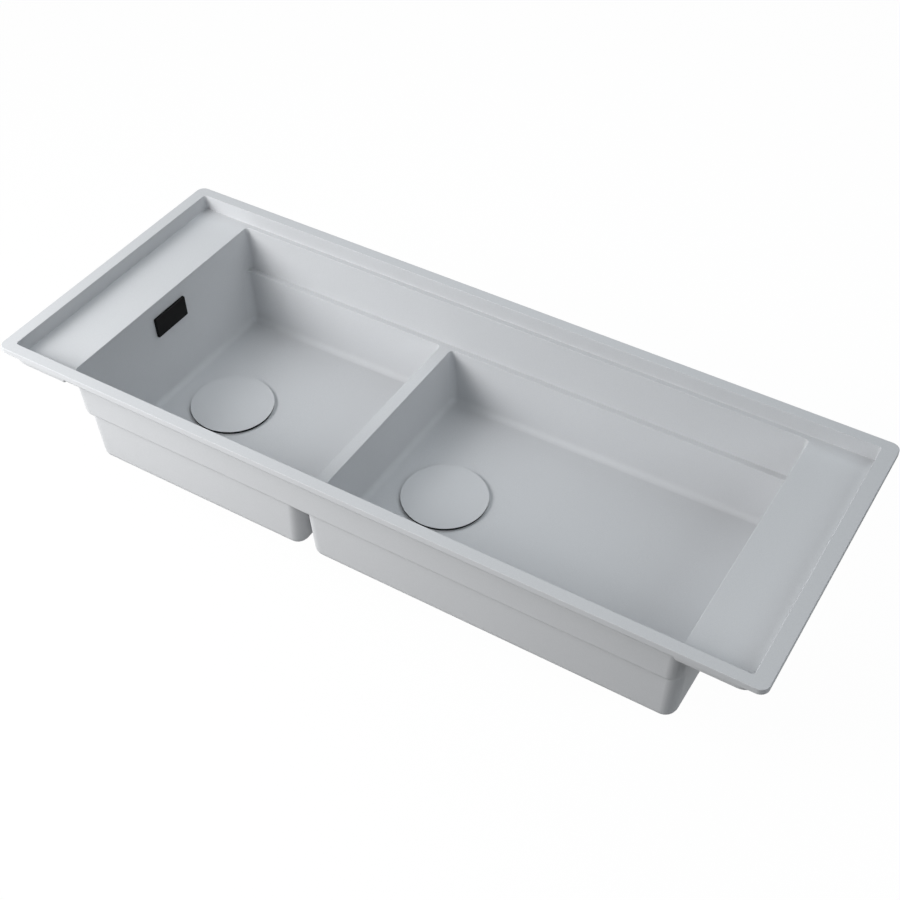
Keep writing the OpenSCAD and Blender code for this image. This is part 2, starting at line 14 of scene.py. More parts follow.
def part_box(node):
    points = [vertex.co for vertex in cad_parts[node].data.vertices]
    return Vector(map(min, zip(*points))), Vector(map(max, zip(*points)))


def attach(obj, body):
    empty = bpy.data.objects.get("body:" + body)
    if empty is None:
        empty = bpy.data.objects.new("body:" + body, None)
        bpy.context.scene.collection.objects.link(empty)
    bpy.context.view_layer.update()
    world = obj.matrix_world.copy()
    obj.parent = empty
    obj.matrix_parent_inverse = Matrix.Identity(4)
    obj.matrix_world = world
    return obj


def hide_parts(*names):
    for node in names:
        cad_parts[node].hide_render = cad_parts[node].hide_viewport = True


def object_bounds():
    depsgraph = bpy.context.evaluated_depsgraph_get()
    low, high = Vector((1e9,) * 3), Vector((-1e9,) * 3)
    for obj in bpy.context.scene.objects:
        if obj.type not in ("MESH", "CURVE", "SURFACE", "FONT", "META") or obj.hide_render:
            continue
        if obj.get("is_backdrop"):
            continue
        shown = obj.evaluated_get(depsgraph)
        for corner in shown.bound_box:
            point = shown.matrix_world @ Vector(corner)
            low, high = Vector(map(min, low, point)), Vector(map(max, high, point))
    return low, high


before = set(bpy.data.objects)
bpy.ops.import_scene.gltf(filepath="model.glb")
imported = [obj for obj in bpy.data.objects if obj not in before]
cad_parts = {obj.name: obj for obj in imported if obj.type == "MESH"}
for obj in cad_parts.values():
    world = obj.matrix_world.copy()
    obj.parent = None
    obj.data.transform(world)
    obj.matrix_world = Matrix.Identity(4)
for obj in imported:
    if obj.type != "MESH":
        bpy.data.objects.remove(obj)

log = logging.getLogger("sink")

MM = 0.001
LEAST_CORNER = 0.2 * MM
# Range that noise values mostly lie in
NOISE_LOW, NOISE_HIGH = 0.3, 0.7
# Places of the colour sockets on a Mix node
FIRST_COLOUR, SECOND_COLOUR, MIXED_COLOUR = 6, 7, 2
Point = tuple[float, float, float]
Flat = tuple[float, float]


class Side(Enum):
    """The two bowls, by the name that starts their nodes."""

    LEFT = "left"
    RIGHT = "right"


class Slot(Enum):
    """Material slots of the record."""

    COMPOSITE = "composite"
    COVER = "cover"
    STEEL = "steel"
    RUBBER = "rubber"
    DARK_PLASTIC = "dark_plastic"
    BLACK_PLASTIC = "black_plastic"
    HOSE = "hose"
    BRASS = "brass"


# Finishes


class Bench:
    """Lays out a node tree."""

    tree: bpy.types.NodeTree

    def put(self, socket: bpy.types.NodeSocket, value: object) -> None:
        """Links a socket to another, or sets its value.

        Args:
            socket: the input.
            value: another socket, or a plain value.
        """
        if isinstance(value, bpy.types.NodeSocket):
            self.tree.links.new(value, socket)
        else:
            socket.default_value = value


class NodeBench(Bench):
    """Lays out the nodes of one material."""

    def __init__(self, name: str) -> None:
        """Starts a material that holds only its output and shader.

        Args:
            name: name of the material.
        """
        self.material = bpy.data.materials.new(name)
        self.material.use_nodes = True
        self.tree = self.material.node_tree
        self.shader = self.tree.nodes["Principled BSDF"]
        self.coords = self.tree.nodes.new("ShaderNodeTexCoord").outputs["Object"]

    def add(self, kind: str, **values: object) -> bpy.types.Node:
        """Adds a node and sets its properties and inputs.

        Args:
            kind: Blender's name of the node type.
            **values: property names, or input names with spaces written as underscores.

        Returns:
            The new node.
        """
        node = self.tree.nodes.new(kind)
        for key, value in values.items():
            socket = key.replace("_", " ")
            if socket in node.inputs:
                self.put(node.inputs[socket], value)
            else:
                setattr(node, key, value)
        return node

    def noise(self, scale: float, detail: float = 3.0, at: object = None) -> bpy.types.NodeSocket:
        """Noise value over the piece.

        Args:
            scale: cycles to the metre.
            detail: octaves.
            at: coordinates, or None for the object's own.

        Returns:
            The noise's factor socket.
        """
        node = self.add("ShaderNodeTexNoise", Scale=scale, Detail=detail)
        self.put(node.inputs["Vector"], at or self.coords)
        return node.outputs["Factor" if "Factor" in node.outputs else "Fac"]

    def ramp(self, value: object, stops: Sequence[tuple[float, Sequence[float]]]) -> bpy.types.NodeSocket:
        """Colour ramp.

        Args:
            value: factor socket.
            stops: positions with linear colours.

        Returns:
            The colour socket.
        """
        node = self.add("ShaderNodeValToRGB", Fac=value)
        band = node.color_ramp
        while len(band.elements) < len(stops):
            band.elements.new(0.5)
        for element, (place, colour) in zip(band.elements, stops):
            element.position = place
            element.color = (*colour, 1.0)
        return node.outputs["Color"]

    def shades(self, value: object, dark: Sequence[float], pale: Sequence[float]) -> bpy.types.NodeSocket:
        """Colour that runs from dark to pale over a noise.

        Args:
            value: noise socket.
            dark: linear colour at its low end.
            pale: linear colour at its high end.

        Returns:
            The colour socket.
        """
        return self.ramp(value, [(NOISE_LOW, dark), (NOISE_HIGH, pale)])

    def span(self, value: object, low: float, high: float) -> bpy.types.NodeSocket:
        """Spreads a noise value between two numbers.

        Args:
            value: noise socket.
            low: number for its low end.
            high: number for its high end.

        Returns:
            The spread value's socket.
        """
        node = self.add("ShaderNodeMapRange", From_Min=NOISE_LOW, From_Max=NOISE_HIGH,
                        To_Min=low, To_Max=high)
        self.put(node.inputs["Value"], value)
        return node.outputs["Result"]

    def bump(self, height: object, depth: float, strength: float) -> None:
        """Gives the shader a bump.

        Args:
            height: height socket.
            depth: height in metres of a full step.
            strength: share of it that shows.
        """
        node = self.add("ShaderNodeBump", Strength=strength, Distance=depth)
        self.put(node.inputs["Height"], height)
        self.put(self.shader.inputs["Normal"], node.outputs["Normal"])


def scaled(colour: Sequence[float], by: float) -> tuple[float, float, float]:
    """Colour made lighter or darker."""
    return tuple(min(1.0, c * by) for c in colour)


@dataclass(frozen=True)
class Finish:
    """A finish that pieces can be given.

    Attributes:
        name: name of the material.
        colour: linear base colour.
        roughness: roughness at the middle of its variation.
        drift: how far the roughness varies down and up.
        relief: depth of the surface's bump.
        relief_share: share of the bump that shows.
    """

    name: str
    colour: Point
    roughness: float
    drift: Flat = (-0.05, 0.05)
    relief: float = 0.05 * MM
    relief_share: float = 0.2

    def build(self) -> bpy.types.Material:
        """Material with this finish, made once.

        Returns:
            The material.
        """
        known = bpy.data.materials.get(self.name)
        if known:
            return known
        bench = NodeBench(self.name)
        self.dress(bench)
        return bench.material

    def dress(self, bench: NodeBench) -> None:
        """Adds this finish's nodes."""
        raise NotImplementedError

    def coat(self, bench: NodeBench, tone: object, wear: object, skin: object) -> None:
        """Joins the parts of a finish to its shader.

        Args:
            bench: the material's bench.
            tone: colour socket.
            wear: noise socket that the roughness varies with.
            skin: height socket of the bump.
        """
        bench.put(bench.shader.inputs["Base Color"], tone)
        low, high = (self.roughness + change for change in self.drift)
        bench.put(bench.shader.inputs["Roughness"], bench.span(wear, low, high))
        bench.bump(skin, self.relief, self.relief_share)


@dataclass(frozen=True)
class Composite(Finish):
    """Moulded composite with a very fine mineral grain.

    Attributes:
        grain: grains to the metre.
        contrast: how far the grain lightens and darkens the colour.
        mottle: clouds to the metre.
        mottle_tone: grey that the clouds darken to.
        gloss: specular level.
    """

    drift: Flat = (-0.04, 0.04)
    relief: float = 0.1 * MM
    relief_share: float = 0.12
    grain: float = 1500.0
    contrast: float = 0.045
    mottle: float = 9.0
    mottle_tone: float = 0.985
    gloss: float = 0.25

    def dress(self, bench: NodeBench) -> None:
        """Adds the grain, a slow mottle and the bump of the moulded skin.

        Args:
            bench: the material's bench.
        """
        clouds = bench.noise(self.mottle)
        dark, pale = scaled(self.colour, 1 - self.contrast), scaled(self.colour, 1 + self.contrast)
        mix = bench.add("ShaderNodeMix", data_type="RGBA", blend_type="MULTIPLY")
        mix.inputs["Factor"].default_value = 1.0
        grained = bench.shades(bench.noise(self.grain, 2.0), dark, pale)
        mottled = bench.shades(clouds, (self.mottle_tone,) * 3, (1.0, 1.0, 1.0))
        bench.put(mix.inputs[FIRST_COLOUR], grained)
        bench.put(mix.inputs[SECOND_COLOUR], mottled)
        bench.shader.inputs["Specular IOR Level"].default_value = self.gloss
        self.coat(bench, mix.outputs[MIXED_COLOUR], clouds, bench.noise(self.grain * 0.6, 2.0))


@dataclass(frozen=True)
class SpunSteel(Finish):
    """Stainless steel with faint marks from drawing and brushing.

    Attributes:
        stretch: how much the marks are drawn out.
        marks: marks to the metre along their length.
    """

    drift: Flat = (-0.05, 0.08)
    relief: float = 0.02 * MM
    stretch: float = 60.0
    marks: float = 18.0

    def dress(self, bench: NodeBench) -> None:
        """Adds stretched brush marks to the tone, the roughness and the bump.

        Args:
            bench: the material's bench.
        """
        place = bench.add("ShaderNodeMapping", Scale=(self.stretch, 1.0, self.stretch))
        bench.put(place.inputs["Vector"], bench.coords)
        marks = bench.noise(self.marks, 4.0, place.outputs["Vector"])
        bench.shader.inputs["Metallic"].default_value = 1.0
        tone = bench.shades(marks, scaled(self.colour, 0.9), scaled(self.colour, 1.05))
        self.coat(bench, tone, marks, marks)


@dataclass(frozen=True)
class TurnedBrass(Finish):
    """Uncoated brass with turning marks.

    Attributes:
        rings: density of the turning marks.
        tarnish: patches of tarnish to the metre.
    """

    drift: Flat = (0.0, 0.15)
    relief: float = 0.03 * MM
    relief_share: float = 0.25
    rings: float = 900.0
    tarnish: float = 160.0

    def dress(self, bench: NodeBench) -> None:
        """Adds rings along the height and a slow tarnish.

        Args:
            bench: the material's bench.
        """
        rings = bench.add("ShaderNodeTexWave", Scale=self.rings, Distortion=0.6, bands_direction="Z")
        bench.put(rings.inputs["Vector"], bench.coords)
        tarnish = bench.noise(self.tarnish, 4.0)
        bench.shader.inputs["Metallic"].default_value = 1.0
        tone = bench.ramp(tarnish, [(0.35, scaled(self.colour, 0.75)), (0.65, self.colour)])
        self.coat(bench, tone, tarnish, rings.outputs["Fac"])


@dataclass(frozen=True)
class Rubber(Finish):
    """Matte moulded rubber.

    Attributes:
        bloom: pale patches to the metre.
        skin: bumps to the metre.
    """

    drift: Flat = (-0.06, 0.06)
    bloom: float = 70.0
    skin: float = 2400.0

    def dress(self, bench: NodeBench) -> None:
        """Adds a soft bloom and a fine skin.

        Args:
            bench: the material's bench.
        """
        bloom = bench.noise(self.bloom, 4.0)
        tone = bench.ramp(bloom, [(0.35, self.colour), (0.7, scaled(self.colour, 1.5))])
        self.coat(bench, tone, bloom, bench.noise(self.skin, 2.0))


@dataclass(frozen=True)
class Moulded(Finish):
    """Moulded plastic with a fine spark-eroded texture.

    Attributes:
        cloud: patches of gloss to the metre.
        texture: bumps to the metre.
        gloss: specular level.
    """

    relief: float = 0.04 * MM
    relief_share: float = 0.25
    cloud: float = 45.0
    texture: float = 3200.0
    gloss: float = 0.5

    def dress(self, bench: NodeBench) -> None:
        """Adds the texture and a little unevenness of gloss.

        Args:
            bench: the material's bench.
        """
        cloud = bench.noise(self.cloud)
        bench.shader.inputs["Specular IOR Level"].default_value = self.gloss
        tone = bench.shades(cloud, scaled(self.colour, 0.9), scaled(self.colour, 1.15))
        self.coat(bench, tone, cloud, bench.noise(self.texture, 2.0))


COMPOSITE = Composite("sink_composite", (0.62, 0.63, 0.645), 0.62)
COVER = Composite("cover_composite", (0.62, 0.63, 0.645), 0.58, contrast=0.03)
STEEL = SpunSteel("spun_steel", (0.60, 0.61, 0.62), 0.26)
RUBBER = Rubber("black_rubber", (0.018, 0.018, 0.019), 0.72)
DARK_PLASTIC = Moulded("dark_polypropylene", (0.026, 0.026, 0.028), 0.46)
# Near-black plastic: the overflow plate's own colour; on the cover carriers it is also painted shade of the
# gap under each cover
BLACK_PLASTIC = Moulded("black_plastic_and_painted_gap_shade", (0.0015, 0.0015, 0.0016), 0.5, relief=0.015 * MM, gloss=0.12)
HOSE_PLASTIC = Moulded("hose_plastic", (0.040, 0.040, 0.042), 0.42)
BRASS = TurnedBrass("turned_brass", (0.60, 0.42, 0.16), 0.28)


# Mesh tools


@dataclass(frozen=True)
class Sides:
    """Places of points along the straight sides of an outline, in rising order."""

    front: tuple[float, ...] = ()
    right: tuple[float, ...] = ()
    back: tuple[float, ...] = ()
    left: tuple[float, ...] = ()


@dataclass(frozen=True)
class Outline:
    """Rectangle in plan with round corners.

    Attributes:
        left: low X.
        right: high X.
        front: low Y.
        back: high Y.
        corner: radius of the corners.
    """

    left: float
    right: float
    front: float
    back: float
    corner: float

    def grown(self, by: float, corner: float | None = None) -> "Outline":
        """Outline moved out by a distance on all sides.

        Args:
            by: distance, below zero to draw it in.
            corner: new corner radius, or None to grow that as well.

        Returns:
            The new outline.
        """
        radius = self.corner + by if corner is None else corner
        radius = max(radius, LEAST_CORNER)
        return Outline(self.left - by, self.right + by, self.front - by, self.back + by, radius)

    def points(self, z: float, sides: Sides = Sides(), steps: int = 8) -> list[Point]:
        """Points round the outline, from the front left corner on by the front side.

        Args:
            z: height of the points.
            sides: places of further points along the straight sides.
            steps: steps round each corner.

        Returns:
            The points.
        """
        c = self.corner
        found: list[Point] = []
        turns = [
            (self.right - c, self.front + c, -90.0, [(x, self.front) for x in sides.front]),
            (self.right - c, self.back - c, 0.0, [(self.right, y) for y in sides.right]),
            (self.left + c, self.back - c, 90.0, [(x, self.back) for x in reversed(sides.back)]),
            (self.left + c, self.front + c, 180.0, [(self.left, y) for y in reversed(sides.left)]),
        ]
        for x, y, start, straight in turns:
            found += [(px, py, z) for px, py in straight]
            for step in range(steps + 1):
                angle = math.radians(start + 90.0 * step / steps)
                found.append((x + c * math.cos(angle), y + c * math.sin(angle), z))
        return found


def round_ring(centre: Flat, radius: float, z: float, steps: int = 96) -> list[Point]:
    """Ring of points round an upright axis.

    Args:
        centre: X and Y of the axis.
        radius: radius of the ring.
        z: its height.
        steps: number of points.

    Returns:
        The points.
    """
    turns = [math.tau * step / steps for step in range(steps)]
    return [(centre[0] + radius * math.cos(a), centre[1] + radius * math.sin(a), z) for a in turns]


class Skin:
    """Builds one closed mesh from rings of points, and joins equal points as it goes."""

    GRID = 1e-7

    def __init__(self) -> None:
        """Starts an empty mesh."""
        self.bm = bmesh.new()
        self.known: dict[tuple[int, int, int], bmesh.types.BMVert] = {}

    def vert(self, point: Sequence[float]) -> bmesh.types.BMVert:
        """Vertex at a point, the same one each time.

        Args:
            point: the point.

        Returns:
            The vertex.
        """
        key = tuple(round(c / self.GRID) for c in point)
        if key not in self.known:
            self.known[key] = self.bm.verts.new(point)
        return self.known[key]

    def face(self, points: Iterable[Sequence[float]]) -> None:
        """Adds a face through points, where at least three differ.

        Args:
            points: its corners, in order.
        """
        corners: list[bmesh.types.BMVert] = []
        for point in points:
            vert = self.vert(point)
            if vert not in corners:
                corners.append(vert)
        if len(corners) > 2 and self.bm.faces.get(corners) is None:
            self.bm.faces.new(corners)

    def band(self, low: Sequence[Point], high: Sequence[Point]) -> None:
        """Adds a strip of faces between two rings with the same number of points.

        Args:
            low: one ring.
            high: the other.
        """
        for i in range(len(low)):
            j = (i + 1) % len(low)
            self.face([low[i], low[j], high[j], high[i]])

    def bands(self, rings: Sequence[Sequence[Point]]) -> None:
        """Adds strips between each ring and the next."""
        for low, high in zip(rings, rings[1:]):
            self.band(low, high)

    def fill(self, *rings: Sequence[Point]) -> None:
        """Adds flat faces between an outer ring and any rings inside it.

        Args:
            *rings: the outer ring and then the inner ones.
        """
        edges = []
        for ring in rings:
            for i in range(len(ring)):
                pair = (self.vert(ring[i]), self.vert(ring[(i + 1) % len(ring)]))
                if pair[0] is not pair[1]:
                    edges.append(self.bm.edges.get(pair) or self.bm.edges.new(pair))
        bmesh.ops.triangle_fill(self.bm, use_beauty=True, use_dissolve=False, edges=edges)

    def lathe(self, profile: Sequence[Flat], centre: Flat, steps: int = 96) -> None:
        """Turned shape from a closed half section.

        Args:
            profile: radius and height of each point.
            centre: X and Y of the axis.
            steps: steps round the axis.
        """
        rings = [round_ring(centre, radius, z, steps) for radius, z in profile]
        self.bands(rings + rings[:1])

    def mesh(self, name: str) -> bpy.types.Mesh:
        """Mesh with its faces turned outwards.

        Args:
            name: name of the mesh.

        Returns:
            The mesh.
        """
        bmesh.ops.recalc_face_normals(self.bm, faces=self.bm.faces)
        mesh = bpy.data.meshes.new(name)
        self.bm.to_mesh(mesh)
        self.bm.free()
        return mesh


def middle(node: str) -> Flat:
    """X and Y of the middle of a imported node."""
    low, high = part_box(node)
    return (low[0] + high[0]) / 2, (low[1] + high[1]) / 2


def link(name: str, mesh: bpy.types.Mesh) -> bpy.types.Object:
    """Puts a mesh in the scene, at its origin.

    Args:
        name: name of the object.
        mesh: its mesh.

    Returns:
        The object.
    """
    piece = bpy.data.objects.new(name, mesh)
    bpy.context.scene.collection.objects.link(piece)
    return piece


def applied(piece: bpy.types.Object) -> bpy.types.Object:
    """Turns a piece's modifiers into plain mesh.

    Args:
        piece: the piece.

    Returns:
        The same piece, without modifiers.
    """
    bpy.context.view_layer.update()
    graph = bpy.context.evaluated_depsgraph_get()
    shape = piece.evaluated_get(graph)
    mesh = bpy.data.meshes.new_from_object(shape, preserve_all_data_layers=True, depsgraph=graph)
    if piece.type == "MESH":
        piece.modifiers.clear()
        piece.data = mesh
        return piece
    name = piece.name
    bpy.data.objects.remove(piece)
    return link(name, mesh)


def shaded(piece: bpy.types.Object, crease: float = 32.0) -> bpy.types.Object:
    """Smooth shading that keeps flat faces flat and edges past an angle crisp.

    Args:
        piece: the piece.
        crease: angle in degrees past which an edge is crisp.

    Returns:
        The same piece.
    """
    bm = bmesh.new()
    bm.from_mesh(piece.data)
    for face in bm.faces:
        face.smooth = True
    for edge in bm.edges:
        edge.smooth = len(edge.link_faces) == 2 and edge.calc_face_angle(math.pi) < math.radians(crease)
    bm.to_mesh(piece.data)
    bm.free()
    weigh = piece.modifiers.new("weigh", "WEIGHTED_NORMAL")
    weigh.keep_sharp = True
    weigh.weight = 80
    return applied(piece)


def softened(profile: Sequence[Flat], radius: float, steps: int = 3) -> list[Flat]:
    """Rounds the corners of a closed half section, apart from those on the axis.

    Args:
        profile: radius and height of each corner.
        radius: radius of the rounding, less where sides are short.
        steps: steps round each corner.

    Returns:
        The rounded section.
    """
    # Lengths that count as nothing, half angles that count as straight, and the share of a side to use
    tiny, straight, share = 1e-6, math.radians(85), 0.45
    found: list[Flat] = []
    count = len(profile)
    for i, corner in enumerate(profile):
        here = Vector(corner)
        before = Vector(profile[i - 1]) - here
        after = Vector(profile[(i + 1) % count]) - here
        half = before.angle(after, math.pi) / 2
        if min(corner[0], before.length, after.length) < tiny or half > straight:
            found.append(corner)
            continue
        reach = min(radius / math.tan(half), before.length * share, after.length * share)
        start = here + before.normalized() * reach
        end = here + after.normalized() * reach
        for step in range(steps + 1):
            t = step / steps
            found.append(tuple(start * (1 - t) ** 2 + here * 2 * t * (1 - t) + end * t ** 2))
    return found


def dressed(piece: bpy.types.Object, finish: Finish, slot: Slot, body: str, *nodes: str) -> bpy.types.Object:
    """Gives a piece its finish and body, and hides the nodes it stands for.

    Args:
        piece: the piece.
        finish: its finish.
        slot: the record's material slot; not used.
        body: name of the body that it rides on.
        *nodes: nodes that it replaces.

    Returns:
        The same piece.
    """
    piece.data.materials.clear()
    piece.data.materials.append(finish.build())
    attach(piece, body)
    if nodes:
        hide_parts(*nodes)
    log.info("piece %s on %s, %d faces", piece.name, body, len(piece.data.polygons))
    return piece


def dress_node(node: str, finish: Finish) -> None:
    """Gives a carried node its finish.

    Args:
        node: name of the node.
        finish: its finish.
    """
    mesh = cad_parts[node].data
    mesh.materials.clear()
    mesh.materials.append(finish.build())
    log.info("node %s keeps its solid in %s", node, finish.name)


# Geometry Nodes


class TreeBench(Bench):
    """Lays out one Geometry Nodes tree, whose named inputs are set before it first runs."""

    KINDS = {float: "NodeSocketFloat", int: "NodeSocketInt", tuple: "NodeSocketVector"}

    def __init__(self, name: str, **values: float | int | Point) -> None:
        """Starts a tree.

        Args:
            name: name of the tree.
            **values: its named inputs, with the values that the piece gives them.
        """
        self.tree = bpy.data.node_groups.new(name, "GeometryNodeTree")
        face = self.tree.interface
        face.new_socket("Geometry", in_out="INPUT", socket_type="NodeSocketGeometry")
        face.new_socket("Geometry", in_out="OUTPUT", socket_type="NodeSocketGeometry")
        self.values = {key: (face.new_socket(key, in_out="INPUT", socket_type=self.KINDS[type(value)]), value)
                       for key, value in values.items()}
        self.given = self.tree.nodes.new("NodeGroupInput").outputs

    def add(self, kind: str, *links: object, **values: object) -> bpy.types.NodeSocket:
        """Adds a node, and links or sets its inputs.

        Args:
            kind: Blender's name of the node type.
            *links: what its first inputs get, in order.
            **values: property names, or input names with spaces written as underscores.

        Returns:
            The node's first enabled output.
        """
        node = self.tree.nodes.new(kind)
        for key, value in values.items():
            if hasattr(node, key):
                setattr(node, key, value)
        for key, value in values.items():
            if not hasattr(node, key):
                self.put(next(s for s in node.inputs if s.name == key.replace("_", " ") and s.enabled), value)
        for socket, value in zip([s for s in node.inputs if s.enabled], links):
            self.put(socket, value)
        return next(s for s in node.outputs if s.enabled)

    def math(self, operation: str, *terms: object) -> bpy.types.NodeSocket:
        """Number worked out from others."""
        return self.add("ShaderNodeMath", *terms, operation=operation)

    def finish(self, shape: object, finish: Finish) -> None:
        """Ends the tree in plain geometry with its material.

        Args:
            shape: socket of the finished shape.
            finish: its finish.
        """
        plain = self.add("GeometryNodeRealizeInstances", shape)
        coated = self.add("GeometryNodeSetMaterial", plain, Material=finish.build())
        self.tree.links.new(coated, self.tree.nodes.new("NodeGroupOutput").inputs[0])

    def run(self, piece: bpy.types.Object) -> bpy.types.Object:
        """Runs the tree on a piece and keeps what it makes as plain mesh.

        Args:
            piece: the piece that carries the input geometry.

        Returns:
            The plain piece.
        """
        modifier = piece.modifiers.new(self.tree.name, "NODES")
        modifier.node_group = self.tree
        for socket, value in self.values.values():
            modifier[socket.identifier] = value
        return applied(piece)


# The sink


@dataclass
class SinkBody:
    """The moulded sink: rim, shelves, stepped well, bowls and their outside.

    Attributes:
        rim: outline of the rim.
        rim_h: height of the rim above the worktop.
        rim_round: radius of the rim's upper edges.
        foot_bevel: bevel of the rim's lower edge.
        recess: outline of the recess inside the rim.
        shelf_z: height of the shelves.
        well: outline of the well at the shelves.
        edge_round: radius of the inner edges.
        draft: slope of the walls away from upright, in degrees.
        ledge_z: height of the lower ledge and of the divider's top.
        ledge_w: width of the lower ledge.
        divider: low and high X of the divider's top.
        wall: thickness of the walls.
        wall_levels: rings between a bowl's top edge and its floor's fillet.
        floor_z: height of the floors at the wastes.
        floor_rise: how far each floor's left end lies above that height, and how far it rises from there.
        base_z: height of the underside.
        floor_fillet: radius between floors and walls.
        outer_corner: radius of the upright corners outside.
        base_round: radius round the bases.
        step_z: height of the underside of the upper box.
        tray_wall: thickness of the trays.
        tray_corner: corner radius of the trays outside.
        tray_round: radius of the trays' lower edges at the ends.
        ledge_bevel: radius of the front tray's lower edge beside the well.
        bevel_inset: how far inside the well's ends that radius changes.
        bevel_blend: half the length over which it changes.
        drains: X and Y of the two wastes.
        seat_r: radius of the seats for the steel lips.
        seat_drop: depth of the seats.
        seat_bevel: bevel of the seats' and bosses' edges.
        bore_r: radius of the waste holes.
        boss_r: radius of the bosses under the floors.
        boss_drop: how far the bosses stand below the bases.
        arc_steps: steps of a quarter round.
    """

    rim: Outline = Outline(-550 * MM, 550 * MM, -220 * MM, 220 * MM, 12 * MM)
    rim_h: float = 9 * MM
    rim_round: float = 0.8 * MM
    foot_bevel: float = 0.8 * MM
    recess: Outline = Outline(-532 * MM, 529 * MM, -203.5 * MM, 203.5 * MM, 4 * MM)
    shelf_z: float = -14.5 * MM
    well: Outline = Outline(-450 * MM, 442 * MM, -186 * MM, 195 * MM, 6 * MM)
    edge_round: float = 0.8 * MM
    draft: float = 3.0
    ledge_z: float = -85 * MM
    ledge_w: float = 9 * MM
    divider: tuple[float, float] = (-101 * MM, -83 * MM)
    wall: float = 6.5 * MM
    wall_levels: int = 4
    floor_z: float = -175 * MM
    floor_rise: dict[Side, tuple[float, float]] = field(
        default_factory=lambda: {Side.LEFT: (-0.5 * MM, 2 * MM), Side.RIGHT: (-1 * MM, 5 * MM)}
    )
    base_z: float = -182 * MM
    floor_fillet: float = 10 * MM
    outer_corner: float = 18 * MM
    base_round: float = 15 * MM
    step_z: float = -91.5 * MM
    tray_wall: float = 6.5 * MM
    tray_corner: float = 20 * MM
    tray_round: float = 6 * MM
    ledge_bevel: float = 11 * MM
    bevel_inset: float = 1.5 * MM
    bevel_blend: float = 1 * MM
    drains: dict[Side, Flat] = field(
        default_factory=lambda: {side: middle(f"{side.value}_waste_flange") for side in Side}
    )
    seat_r: float = 56.5 * MM
    seat_drop: float = 2 * MM
    seat_bevel: float = 0.5 * MM
    bore_r: float = 45 * MM
    boss_r: float = 62 * MM
    boss_drop: float = 4 * MM
    arc_steps: int = 6

    @property
    def taper(self) -> float:
        """How far a wall leans for each unit of height."""
        return math.tan(math.radians(self.draft))

    def well_at(self, z: float) -> Outline:
        """Inside of the well at a height."""
        return self.well.grown(-self.taper * (self.shelf_z - z), self.well.corner)

    def bowl_at(self, side: Side, z: float, corner: float) -> Outline:
        """Inside of a bowl at a height below the lower ledge.

        Args:
            side: which bowl.
            z: the height.
            corner: corner radius there.

        Returns:
            The outline.
        """
        well = self.well_at(z)
        lean = self.taper * (self.ledge_z - z)
        left = well.left if side is Side.LEFT else self.divider[1] + lean
        right = well.right if side is Side.RIGHT else self.divider[0] - lean
        return Outline(left, right, well.front + self.ledge_w, well.back - self.ledge_w, corner)

    def arc_ends(self, outline: Outline) -> tuple[float, float]:
        """Low and high Y where the corners of an outline end."""
        return outline.front + outline.corner, outline.back - outline.corner

    def build(self) -> bpy.types.Object:
        """Builds and dresses the sink.

        Returns:
            The finished piece.
        """
        skin = Skin()
        self.add_rim_and_recess(skin)
        self.add_well_and_ledge(skin)
        for side in Side:
            self.add_bowl(skin, side)
        self.add_trays(skin)
        self.add_outer_walls(skin)
        piece = link("sink_moulding", skin.mesh("sink_moulding"))
        self.cut_overflow_slot(piece)
        return dressed(shaded(piece), COMPOSITE, Slot.COMPOSITE, "sink", "sink_body")

    def quarter(self, radius: float, convex: bool = True) -> list[Flat]:
        """Steps of a quarter round: how far out of the wall and how far below the flat each lies.

        Args:
            radius: radius of the round.
            convex: whether it rounds an edge off, or else fills an inner corner.

        Returns:
            Pairs of distances, from the flat to the wall.
        """
        found = []
        for step in range(self.arc_steps + 1):
            angle = math.radians(90.0 * step / self.arc_steps)
            if convex:
                found.append((radius * (1 - math.sin(angle)), radius * (1 - math.cos(angle))))
            else:
                found.append((radius * (1 - math.cos(angle)), radius * (1 - math.sin(angle))))
        return found

    def add_rim_and_recess(self, skin: Skin) -> None:
        """Adds the rim, from its underside over its top down to the shelves.

        Args:
            skin: the mesh.
        """
        under = self.rim.grown(-self.foot_bevel).points(0.0)
        foot = self.rim.points(self.foot_bevel)
        rise = [self.rim.grown(-out).points(self.rim_h - down)
                for out, down in self.quarter(self.rim_round)]
        inner = [self.recess.grown(out).points(self.rim_h - down)
                 for out, down in self.quarter(self.rim_round)]
        fillet = [self.recess.grown(-out).points(self.shelf_z + up)
                  for up, out in self.quarter(self.edge_round, False)]
        skin.bands([under, foot] + rise[::-1])
        skin.fill(rise[0], inner[0])
        skin.bands(inner + fillet[::-1])
        lip = self.well.grown(self.edge_round).points(self.shelf_z, self.well_sides())
        skin.fill(fillet[0], lip)

    def well_sides(self) -> Sides:
        """Places on the well's end walls where the corners of the bowls end."""
        ends = {side: self.arc_ends(self.bowl_at(side, self.ledge_z, self.well.corner)) for side in Side}
        return Sides(left=ends[Side.LEFT], right=ends[Side.RIGHT])

    def add_well_and_ledge(self, skin: Skin) -> None:
        """Adds the well's walls from the shelves down to the lower ledge, and that ledge.

        Args:
            skin: the mesh.
        """
        sides = self.well_sides()
        rounds = [self.well_at(self.shelf_z - down).grown(out).points(self.shelf_z - down, sides)
                  for out, down in self.quarter(self.edge_round)]
        bottom = self.well_at(self.ledge_z).points(self.ledge_z, sides)
        skin.bands(rounds + [bottom])
        skin.face(self.ledge_loop(bottom))

    def ledge_loop(self, bottom: Sequence[Point]) -> list[Point]:
        """Border of the lower ledge with the divider's top, which is one face.

        Args:
            bottom: ring of the well at the ledge.

        Returns:
            The points of the border, in order.
        """
        left = self.flared_ring(Side.LEFT, 0)
        right = self.flared_ring(Side.RIGHT, 0)
        ends = self.well_sides()
        well = self.well_at(self.ledge_z)

